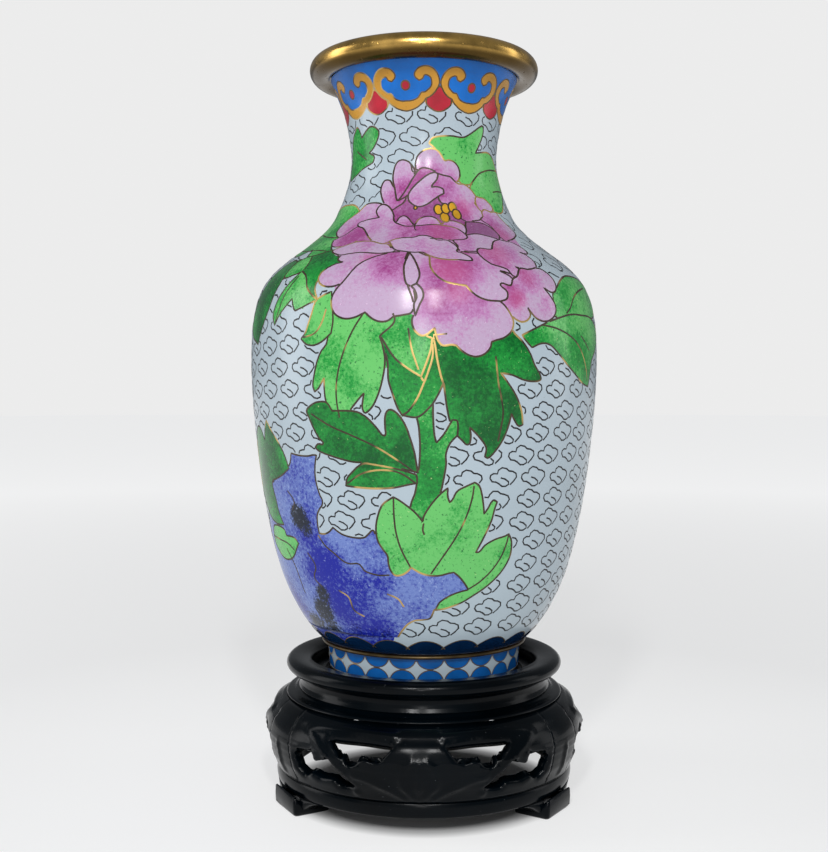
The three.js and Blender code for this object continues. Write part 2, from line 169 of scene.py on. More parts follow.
class Finish:
    """A material made of nodes that read Object coordinates or the piece's own attributes."""

    def __init__(self, name):
        self.material = bpy.data.materials.new(name)
        self.material.use_nodes = True
        self.tree = self.material.node_tree
        self.shader = self.tree.nodes["Principled BSDF"]
        self.place = self.node("ShaderNodeTexCoord").outputs["Object"]

    def node(self, kind, settings=None, inputs=None):
        made = self.tree.nodes.new(kind)
        for key, value in (settings or {}).items():
            if key == "stops":
                ramp = made.color_ramp
                while len(ramp.elements) < len(value):
                    ramp.elements.new(0.5)
                for element, (position, tint) in zip(ramp.elements, value):
                    element.position = position
                    element.color = (*tint[:3], 1.0)
            else:
                setattr(made, key, value)
        for key, value in (inputs or {}).items():
            if isinstance(value, Value):
                value = value.socket
            if isinstance(value, bpy.types.NodeSocket):
                self.tree.links.new(value, made.inputs[key])
            else:
                made.inputs[key].default_value = value
        return made

    def number(self, kind, settings, inputs, output):
        return Value(self, self.node(kind, settings, inputs).outputs[output])

    def attribute(self, name):
        return self.number("ShaderNodeAttribute", dict(attribute_name=name), {}, "Fac")

    def noise(self, scale, detail=2.0, roughness=0.5):
        """Noise whose scale is in features per metre."""
        return self.number("ShaderNodeTexNoise", {}, {
            "Vector": self.place, "Scale": scale, "Detail": detail, "Roughness": roughness}, "Fac")

    def cells(self, scale):
        return self.number("ShaderNodeTexVoronoi", {}, {"Vector": self.place, "Scale": scale}, "Distance")

    def ramp(self, value, stops):
        return self.node("ShaderNodeValToRGB", dict(stops=stops), {"Fac": value}).outputs["Color"]

    def mix(self, factor, first, second):
        inputs = {0: factor}
        for key, tint in ((6, first), (7, second)):
            inputs[key] = tint if isinstance(tint, bpy.types.NodeSocket) else (*tuple(tint)[:3], 1.0)
        return self.node("ShaderNodeMix", dict(data_type="RGBA"), inputs).outputs[2]

    def bump(self, height, strength, distance):
        return self.node("ShaderNodeBump", {}, {
            "Height": height, "Strength": strength, "Distance": distance}).outputs["Normal"]

    def set(self, **inputs):
        for key, value in inputs.items():
            name = key.replace("_", " ")
            if isinstance(value, Value):
                value = value.socket
            if isinstance(value, bpy.types.NodeSocket):
                self.tree.links.new(value, self.shader.inputs[name])
            elif name.endswith("Color") or name.endswith("Tint"):
                self.shader.inputs[name].default_value = (*tuple(value)[:3], 1.0)
            else:
                self.shader.inputs[name].default_value = value
        return self.material


def enamel_surface(finish):
    """Polished enamel: small pits, fine scratches and a faint orange peel."""
    pit = finish.cells(620.0).steps(0.0, 0.16)
    rare = finish.noise(160.0, 1.0).steps(0.56, 0.66)
    holes = 1.0 - (1.0 - pit) * rare
    wave = finish.noise(55.0, 2.0)
    height = holes * 0.5 + wave * 0.8
    finish.set(Normal=finish.bump(height, 0.12, 0.0004),
               Roughness=finish.noise(90.0, 3.0) * 0.12 + 0.16 + (1.0 - holes) * 0.3,
               IOR=1.5, Specular_IOR_Level=0.3)


def speckled(finish, tint, specks, scale=900.0, low=0.63, high=0.7):
    """Scatters small specks of another colour over a tint."""
    grain = finish.noise(scale, 3.0, 0.65)
    return finish.mix(grain.steps(low, high), tint, specks)


def tinted(base, share):
    """A colour scaled by a share."""
    return tuple(c * share for c in base)


def ground_finish():
    f = Finish("white enamel")
    base = tuple(colours().ground)
    cloud = f.noise(38.0, 3.0)
    tone = f.ramp(cloud, [(0.3, tinted(base, 0.93)), (0.7, base)])
    tone = speckled(f, tone, (0.28, 0.3, 0.3), 1500.0, 0.72, 0.76)
    enamel_surface(f)
    return f.set(Base_Color=tone)


def petal_finish():
    f = Finish("pink enamel")
    c = colours()
    grain = f.noise(1150.0, 4.0, 0.75) - 0.5
    coarse = f.noise(420.0, 3.0, 0.6) - 0.5
    soft = f.noise(120.0, 3.0) - 0.5
    depth = (f.attribute("depth") * 0.8 + grain * 1.0 + coarse * 0.55 + soft * 0.5 + 0.08).clamped()
    tone = f.ramp(depth, [(0.0, c.petal_pale), (0.16, c.petal_pale), (0.5, c.petal_mid),
                          (0.9, c.petal_deep)])
    rose = (f.attribute("rose") * 0.75 + grain * 0.5).clamped()
    tone = f.mix(rose, tone, tuple(c.petal_rose))
    shade = (f.attribute("dark") + grain * 0.3).clamped()
    tone = f.mix(shade, tone, tuple(c.petal_mauve))
    pale = (f.noise(1500.0, 3.0, 0.7) - f.attribute("depth") * 0.05).steps(0.62, 0.7)
    tone = f.mix(pale * 0.55, tone, (0.78, 0.6, 0.76))
    tone = speckled(f, tone, (0.2, 0.03, 0.14), 1400.0, 0.74, 0.78)
    enamel_surface(f)
    return f.set(Base_Color=tone)


def leaf_finish():
    f = Finish("green enamel")
    c = colours()
    grain = f.noise(900.0, 4.0, 0.75) - 0.5
    soft = f.noise(75.0, 3.0) - 0.5
    depth = (f.attribute("depth") * 0.85 + grain * 1.1 + soft * 1.3 + 0.06).clamped()
    tone = f.ramp(depth, [(0.0, c.leaf_light), (0.22, c.leaf_light), (0.5, c.leaf_mid),
                          (0.95, c.leaf_dark)])
    shade = f.attribute("dark").clamped()
    tone = f.mix(shade * 0.75, tone, (0.03, 0.07, 0.045))
    specks = (f.noise(1300.0, 2.0) + f.attribute("depth") * 0.06).steps(0.64, 0.72)
    tone = f.mix(specks * 0.8, tone, (0.006, 0.09, 0.025))
    gold = f.noise(1500.0, 2.0).steps(0.72, 0.76)
    tone = f.mix(gold * 0.6, tone, (0.55, 0.72, 0.3))
    enamel_surface(f)
    return f.set(Base_Color=tone)


def rock_finish():
    f = Finish("blue rock enamel")
    c = colours()
    grain = f.noise(900.0, 4.0, 0.75) - 0.5
    soft = f.noise(70.0, 3.0) - 0.5
    depth = (f.attribute("depth") + grain * 2.4 + soft * 1.3 + 0.06).clamped()
    tone = f.ramp(depth, [(0.0, c.rock_light), (0.08, c.rock_light), (0.75, c.rock_deep)])
    black = (f.attribute("dark") + grain * 1.5 + soft * 0.8).steps(0.45, 0.85)
    tone = f.mix(black, tone, tuple(c.rock_black))
    white = (f.noise(1100.0, 3.0, 0.7) - f.attribute("depth") * 0.06).steps(0.56, 0.7)
    tone = f.mix(white * 0.5, tone, (0.42, 0.5, 0.75))
    enamel_surface(f)
    return f.set(Base_Color=tone)


def plain_enamel(name, base, vary=0.22, specks=0.6):
    f = Finish(name)
    base = tuple(base)
    tone = f.ramp(f.noise(160.0, 3.0), [(0.25, tinted(base, 1.0 - vary)),
                                        (0.75, tinted(base, 1.0 + 0.4 * vary))])
    tone = speckled(f, tone, tinted(base, 1.0 - specks), 1100.0, 0.66, 0.74)
    enamel_surface(f)
    return f.set(Base_Color=tone)


def lining_finish():
    f = Finish("counter enamel")
    base = tuple(colours().lining)
    tone = f.ramp(f.noise(120.0, 4.0), [(0.3, tinted(base, 0.7)), (0.7, base)])
    tone = speckled(f, tone, tinted(base, 0.3), 420.0, 0.64, 0.72)
    height = f.noise(240.0, 3.0)
    return f.set(Base_Color=tone, Roughness=f.noise(60.0) * 0.2 + 0.28,
                 Normal=f.bump(height, 0.35, 0.0006))


def wire_finish(name, base, rough=0.42, metal=1.0, glints=0.0):
    """Wire that is dark and dull for most of its length, painted shade for the dark room the polished wire
    would reflect, with brighter gold stretches that are painted glints.
    """
    f = Finish(name)
    # Painted glints: random stretches of the wire turn bright gold and more metallic.
    glint_stretches = f.noise(60.0, 2.0).steps(0.55, 0.62) * glints
    tone = f.ramp(f.noise(260.0, 3.0), [(0.35, tinted(base, 0.5)), (0.65, base)])
    tone = f.mix(glint_stretches, tone, (0.62, 0.43, 0.16))
    return f.set(Base_Color=tone, Metallic=glint_stretches * (1.0 - metal) + metal,
                 Roughness=f.noise(500.0) * 0.25 + rough - 0.1)


def gilt_finish():
    f = Finish("pitted gilding")
    base = tuple(colours().gilt)
    pit = 1.0 - f.cells(520.0).steps(0.02, 0.2)
    chosen = f.noise(210.0, 2.0).steps(0.44, 0.56)
    pits = pit * chosen
    stain = f.noise(70.0, 4.0, 0.6)
    tone = f.ramp(stain, [(0.38, tinted(base, 0.5)), (0.62, base)])
    # Painted shade: the lower part of the rim darkens towards black brown, standing in for the shadow under
    # the rolled rim above the collar.
    low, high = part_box("gilt_mouth_rim")
    under = 1.0 - f.number("ShaderNodeSeparateXYZ", {}, {"Vector": f.place}, "Z").steps(
        low.z + 0.2 * (high.z - low.z), low.z + 0.56 * (high.z - low.z))
    tone = f.mix(under * 0.93, tone, (0.05, 0.03, 0.009))
    tone = f.mix(pits, tone, (0.1, 0.055, 0.02))
    lines = f.noise(34.0, 2.0)
    height = (1.0 - pits) + lines * 0.25
    return f.set(Base_Color=tone, Metallic=1.0, Normal=f.bump(height, 0.35, 0.0004),
                 Roughness=f.noise(130.0, 3.0) * 0.2 + 0.14 + pits * 0.4)


def copper_finish():
    f = Finish("sheet copper")
    tone = f.ramp(f.noise(90.0, 4.0), [(0.3, (0.3, 0.11, 0.06)), (0.7, (0.66, 0.29, 0.16))])
    height = f.noise(420.0, 3.0)
    return f.set(Base_Color=tone, Metallic=1.0, Roughness=f.noise(60.0) * 0.2 + 0.3,
                 Normal=f.bump(height, 0.2, 0.0003))


def lacquer_finish():
    f = Finish("black lacquer")
    base = tuple(colours().lacquer)
    dust = f.noise(900.0, 3.0, 0.7).steps(0.7, 0.78)
    tone = f.ramp(f.noise(45.0, 3.0), [(0.3, tinted(base, 0.6)), (0.75, tinted(base, 1.7))])
    tone = f.mix(dust * 0.25, tone, (0.3, 0.32, 0.34))
    grain = f.noise(140.0, 3.0)
    fine = f.noise(900.0, 2.0)
    return f.set(Base_Color=tone, Normal=f.bump(grain * 0.7 + fine * 0.15, 0.16, 0.0006),
                 Roughness=f.noise(75.0, 4.0) * 0.2 + 0.1 + dust * 0.3, IOR=1.27,
                 Specular_IOR_Level=0.3)


FINISHES = {}


def finish(name):
    """The material of this name, made on first use."""
    makers = {
        "ground": ground_finish, "petal": petal_finish, "leaf": leaf_finish, "rock": rock_finish,
        "lining": lining_finish, "gilt": gilt_finish, "copper": copper_finish,
        "lacquer": lacquer_finish,
        "stamen": lambda: plain_enamel("yellow stamen enamel", colours().stamen, 0.35),
        "collar": lambda: plain_enamel("blue collar enamel", colours().collar, 0.25, 0.4),
        "ruyi": lambda: plain_enamel("yellow ruyi enamel", colours().ruyi, 0.2, 0.35),
        "drop": lambda: plain_enamel("red enamel", colours().drop, 0.3),
        "scallop": lambda: plain_enamel("dark blue enamel", colours().scallop, 0.35),
        "foot": lambda: plain_enamel("blue foot enamel", colours().foot, 0.35, 0.4),
        "picture_wire": lambda: wire_finish("dull gilt wire", (0.055, 0.034, 0.018), 0.45, 0.2, 0.9),
        "cloud_wire": lambda: wire_finish("dark wire", (0.004, 0.0045, 0.006), 0.45, 0.0),
        "band_wire": lambda: wire_finish("gilt wire", (0.13, 0.085, 0.035), 0.4, 0.5, 0.7),
        "foot_wire": lambda: wire_finish("darkened gilt", (0.085, 0.055, 0.02), 0.35, 0.7),
    }
    if name not in FINISHES:
        FINISHES[name] = makers[name]()
    return FINISHES[name]


# ------------------------------------------------------------------ meshes

def make_piece(name, points, faces, material, body, normals=None, values=None):
    """A mesh object from metres; normals are one per corner, values are one per point."""
    mesh = bpy.data.meshes.new(name)
    mesh.from_pydata(np.asarray(points).tolist(), [], [list(map(int, f)) for f in faces])
    for key, numbers in (values or {}).items():
        layer = mesh.attributes.new(key, "FLOAT", "POINT")
        layer.data.foreach_set("value", np.ascontiguousarray(numbers, dtype=np.float32))
    mesh.polygons.foreach_set("use_smooth", np.full(len(mesh.polygons), True))
    if normals is not None:
        mesh.normals_split_custom_set(np.asarray(normals).tolist())
    mesh.materials.append(finish(material))
    mesh.update()
    piece = bpy.data.objects.new(name, mesh)
    bpy.context.scene.collection.objects.link(piece)
    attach(piece, body)
    return piece


def weld(piece):
    """Merges points that share a place, drops faces without area and turns the rest outwards."""
    work = bmesh.new()
    work.from_mesh(piece.data)
    bmesh.ops.remove_doubles(work, verts=work.verts, dist=1e-7)
    bmesh.ops.dissolve_degenerate(work, edges=work.edges, dist=1e-8)
    bmesh.ops.recalc_face_normals(work, faces=work.faces)
    work.to_mesh(piece.data)
    work.free()


def grid_faces(rows, columns, wrap_rows=False, wrap_columns=False):
    """Quads of a grid of rows by columns points, counted row by row."""
    i, j = np.meshgrid(np.arange(rows - (not wrap_rows)), np.arange(columns - (not wrap_columns)),
                       indexing="ij")
    k = (i + 1) % rows
    m = (j + 1) % columns
    corners = [i * columns + j, i * columns + m, k * columns + m, k * columns + j]
    return np.stack(corners, -1).reshape(-1, 4)


def revolved(name, outline, material, body, steps, ripple=None):
    """A solid of revolution: point = (r sin a, -r cos a, z) for each outline point and azimuth a.

    The outline is a closed list of (radius, height) in mm, anticlockwise with radius to the right.
    """
    outline = np.asarray(outline, dtype=float)
    angle = np.arange(steps) * 2 * np.pi / steps
    r, a = np.meshgrid(outline[:, 0], angle, indexing="ij")
    z = np.repeat(outline[:, 1:], steps, axis=1)
    if ripple is not None:
        r = r + ripple(a, z)
    points = np.stack([r * np.sin(a), -r * np.cos(a), z], -1).reshape(-1, 3) * MM
    faces = grid_faces(len(outline), steps, True, True)
    piece = make_piece(name, points, faces, material, body)
    weld(piece)
    return piece


def arc(centre, radius, start, end, count):
    """Points of a circle's arc, angles in degrees."""
    t = np.linspace(start, end, count) * DEG
    return [(centre[0] + radius * math.cos(a), centre[1] + radius * math.sin(a)) for a in t]


def rounded(outline, radius, count=4):
    """A closed outline with each corner replaced by an arc-like curve of this radius.

    Each corner P becomes the quadratic curve from P + r u to P + r v with P as its control point.
    """
    pts = np.asarray(outline, dtype=float)
    before = np.roll(pts, 1, axis=0) - pts
    after = np.roll(pts, -1, axis=0) - pts
    lb = np.linalg.norm(before, axis=1, keepdims=True)
    la = np.linalg.norm(after, axis=1, keepdims=True)
    start = pts + before / lb * np.minimum(radius, 0.45 * lb)
    end = pts + after / la * np.minimum(radius, 0.45 * la)
    t = np.linspace(0, 1, count)[None, :, None]
    curve = (1 - t) ** 2 * start[:, None] + 2 * t * (1 - t) * pts[:, None] + t ** 2 * end[:, None]
    return curve.reshape(-1, 2)


# ------------------------------------------------------------------ the surface of the vase

def outer_rings(node):
    """The rings (radius, height) of a turned CAD node whose faces look outwards, in mm."""
    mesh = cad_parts[node].data
    rings = {}
    for polygon in mesh.polygons:
        across = Vector((polygon.center.x, polygon.center.y, 0)).normalized()
        if polygon.normal.dot(across) > 0.2:
            for index in polygon.vertices:
                x, y, z = mesh.vertices[index].co / MM
                key = round(z, 1)
                rings[key] = max(rings.get(key, (0, 0)), (math.hypot(x, y), z))
    return sorted(rings.values(), key=lambda ring: ring[1])


def hermite(t, start, end, leave, arrive):
    """The cubic from start to end whose slopes at its two ends are leave and arrive."""
    return ((2 * t ** 3 - 3 * t ** 2 + 1) * start + (t ** 3 - 2 * t ** 2 + t) * leave
            + (3 * t ** 2 - 2 * t ** 3) * end + (t ** 3 - t ** 2) * arrive)


def merged(rings, gap):
    """Rings in order of height, leaving out any within a gap of the one before."""
    kept = []
    for ring in sorted(rings, key=lambda ring: ring[1]):
        if not kept or ring[1] - kept[-1][1] > gap:
            kept.append(ring)
    return np.array(kept)


class Wall:
    """The outer surface of the vase: radius and normal as functions of height."""

    nodes = ("enamel_scallop_band", "enamel_body_ground", "enamel_collar_band")
    gap = 0.6

    def __init__(self):
        rings = merged([ring for node in self.nodes for ring in outer_rings(node)], self.gap)
        self.z, self.r = self.smooth(rings)
        slope = np.gradient(self.r, self.z)
        size = np.hypot(1.0, slope)
        self.nr = 1.0 / size
        self.nz = -slope / size

    @staticmethod
    def smooth(rings):
        """A curve through the rings: on each span a cubic whose end slopes follow the neighbours."""
        r, z = rings[:, 0], rings[:, 1]
        fine = np.linspace(z[0], z[-1], 900)
        if len(z) < 3:
            return fine, np.interp(fine, z, r)
        step = np.diff(z)
        slope = np.diff(r) / step
        m = np.empty(len(r))
        m[1:-1] = (slope[:-1] * step[1:] + slope[1:] * step[:-1]) / (step[1:] + step[:-1])
        m[0] = 1.5 * slope[0] - 0.5 * m[1]
        m[-1] = 1.5 * slope[-1] - 0.5 * m[-2]
        i = np.clip(np.searchsorted(z, fine, side="right") - 1, 0, len(step) - 1)
        t = (fine - z[i]) / step[i]
        h = step[i]
        return fine, hermite(t, r[i], r[i + 1], h * m[i], h * m[i + 1])

    def radius(self, z):
        return np.interp(z, self.z, self.r)

    def place(self, turn, z, out=0.0):
        """The point at an azimuth in degrees and a height, moved out along the normal, in mm."""
        a = np.asarray(turn) * DEG
        nr = np.interp(z, self.z, self.nr)
        nz = np.interp(z, self.z, self.nz)
        r = np.interp(z, self.z, self.r) + out * nr
        return np.stack([r * np.sin(a), -r * np.cos(a), z + out * nz], -1)

    def normal(self, turn, z):
        a = np.asarray(turn) * DEG
        nr = np.interp(z, self.z, self.nr)
        return np.stack([nr * np.sin(a), -nr * np.cos(a), np.interp(z, self.z, self.nz)], -1)


class FootWall(Wall):
    """The straight wall of the foot under the foot wire."""

    nodes = ("enamel_foot_band",)


# ------------------------------------------------------------------ outlines

def through(points, closed=True, share=6):
    """A smooth curve through points (azimuth, height); a third number marks a sharp corner.

    Each span is a Hermite cubic. Its tangent at a point is the direction between the two
    neighbours with the span's own length; at a corner it is the direction of the span.
    """
    p = np.array([q[:2] for q in points], dtype=float)
    corner = np.array([len(q) > 2 for q in points])
    if not closed:
        corner[0] = corner[-1] = True
    nxt = np.roll(p, -1, axis=0)
    prv = np.roll(p, 1, axis=0)
    span = nxt - p
    size = np.linalg.norm(span, axis=1, keepdims=True)
    along = nxt - prv
    along = along / np.maximum(np.linalg.norm(along, axis=1, keepdims=True), 1e-9)
    direct = span / np.maximum(size, 1e-9)
    leave = np.where(corner[:, None], direct, along) * size
    arrive = np.where(np.roll(corner, -1)[:, None], direct, np.roll(along, -1, axis=0)) * size
    t = (np.arange(share) / share)[None, :, None]
    curve = hermite(t, p[:, None], nxt[:, None], leave[:, None], arrive[:, None])
    if closed:
        return curve.reshape(-1, 2)
    return np.vstack([curve[:-1].reshape(-1, 2), p[-1:]])


def inside(points, polygon):
    """Which points lie inside a closed polygon: an odd number of edges lies to their right."""
    x, y = points[:, 0], points[:, 1]
    result = np.zeros(len(points), dtype=bool)
    low, high = polygon.min(0), polygon.max(0)
    near = np.nonzero((x >= low[0]) & (x <= high[0]) & (y >= low[1]) & (y <= high[1]))[0]
    if not len(near):
        return result
    x, y = x[near, None], y[near, None]
    x0, y0 = polygon[:, 0], polygon[:, 1]
    x1, y1 = np.roll(x0, -1), np.roll(y0, -1)
    rise = np.where(y1 == y0, 1e-12, y1 - y0)
    crosses = ((y0 > y) != (y1 > y)) & (x < (x1 - x0) * (y - y0) / rise + x0)
    result[near] = crosses.sum(1) % 2 == 1
    return result


def distance_to(points, line, closed=True):
    """Distance from each point to a polyline."""
    a = line if closed else line[:-1]
    b = np.roll(line, -1, axis=0) if closed else line[1:]
    step = b - a
    size = np.maximum((step ** 2).sum(1), 1e-12)
    best = np.full(len(points), 1e9)
    for start in range(0, len(points), 4000):
        q = points[start:start + 4000]
        t = np.clip(((q[:, None] - a) * step).sum(2) / size, 0, 1)
        gap = q[:, None] - (a + t[..., None] * step)
        best[start:start + 4000] = np.sqrt((gap ** 2).sum(2)).min(1)
    return best


class Shape:
    """One area of enamel: its outline, colour family and shading."""

    def __init__(self, kind, points, base=0.0, deep=(), rose=(), dark=(), wire="picture", curve=None):
        self.kind = kind
        self.curve = through(points) if curve is None else curve
        self.base = base
        self.deep = deep
        self.rose = rose
        self.dark = dark
        self.wire = wire

    def moved(self, change):
        """A copy with its outline and its shading spots moved by a function of (azimuth, height)."""
        def spots(group):
            return [(*change(np.array([[x, z]]))[0], size, share) for x, z, size, share in group]
        return Shape(self.kind, None, self.base, spots(self.deep), spots(self.rose),
                     spots(self.dark), self.wire, change(self.curve))


def fall(turn, z, spots, wall):
    """Shading of a set of spots: each falls smoothly from its share at its centre to 0 at its size."""
    total = np.zeros(len(turn))
    for x, y, size, share in spots:
        gap = np.hypot((turn - x) * DEG * wall.radius(z), z - y) / size
        t = np.clip(1.25 - gap, 0, 1)
        total = np.maximum(total, share * t * t * (3 - 2 * t))
    return total


# ------------------------------------------------------------------ the picture

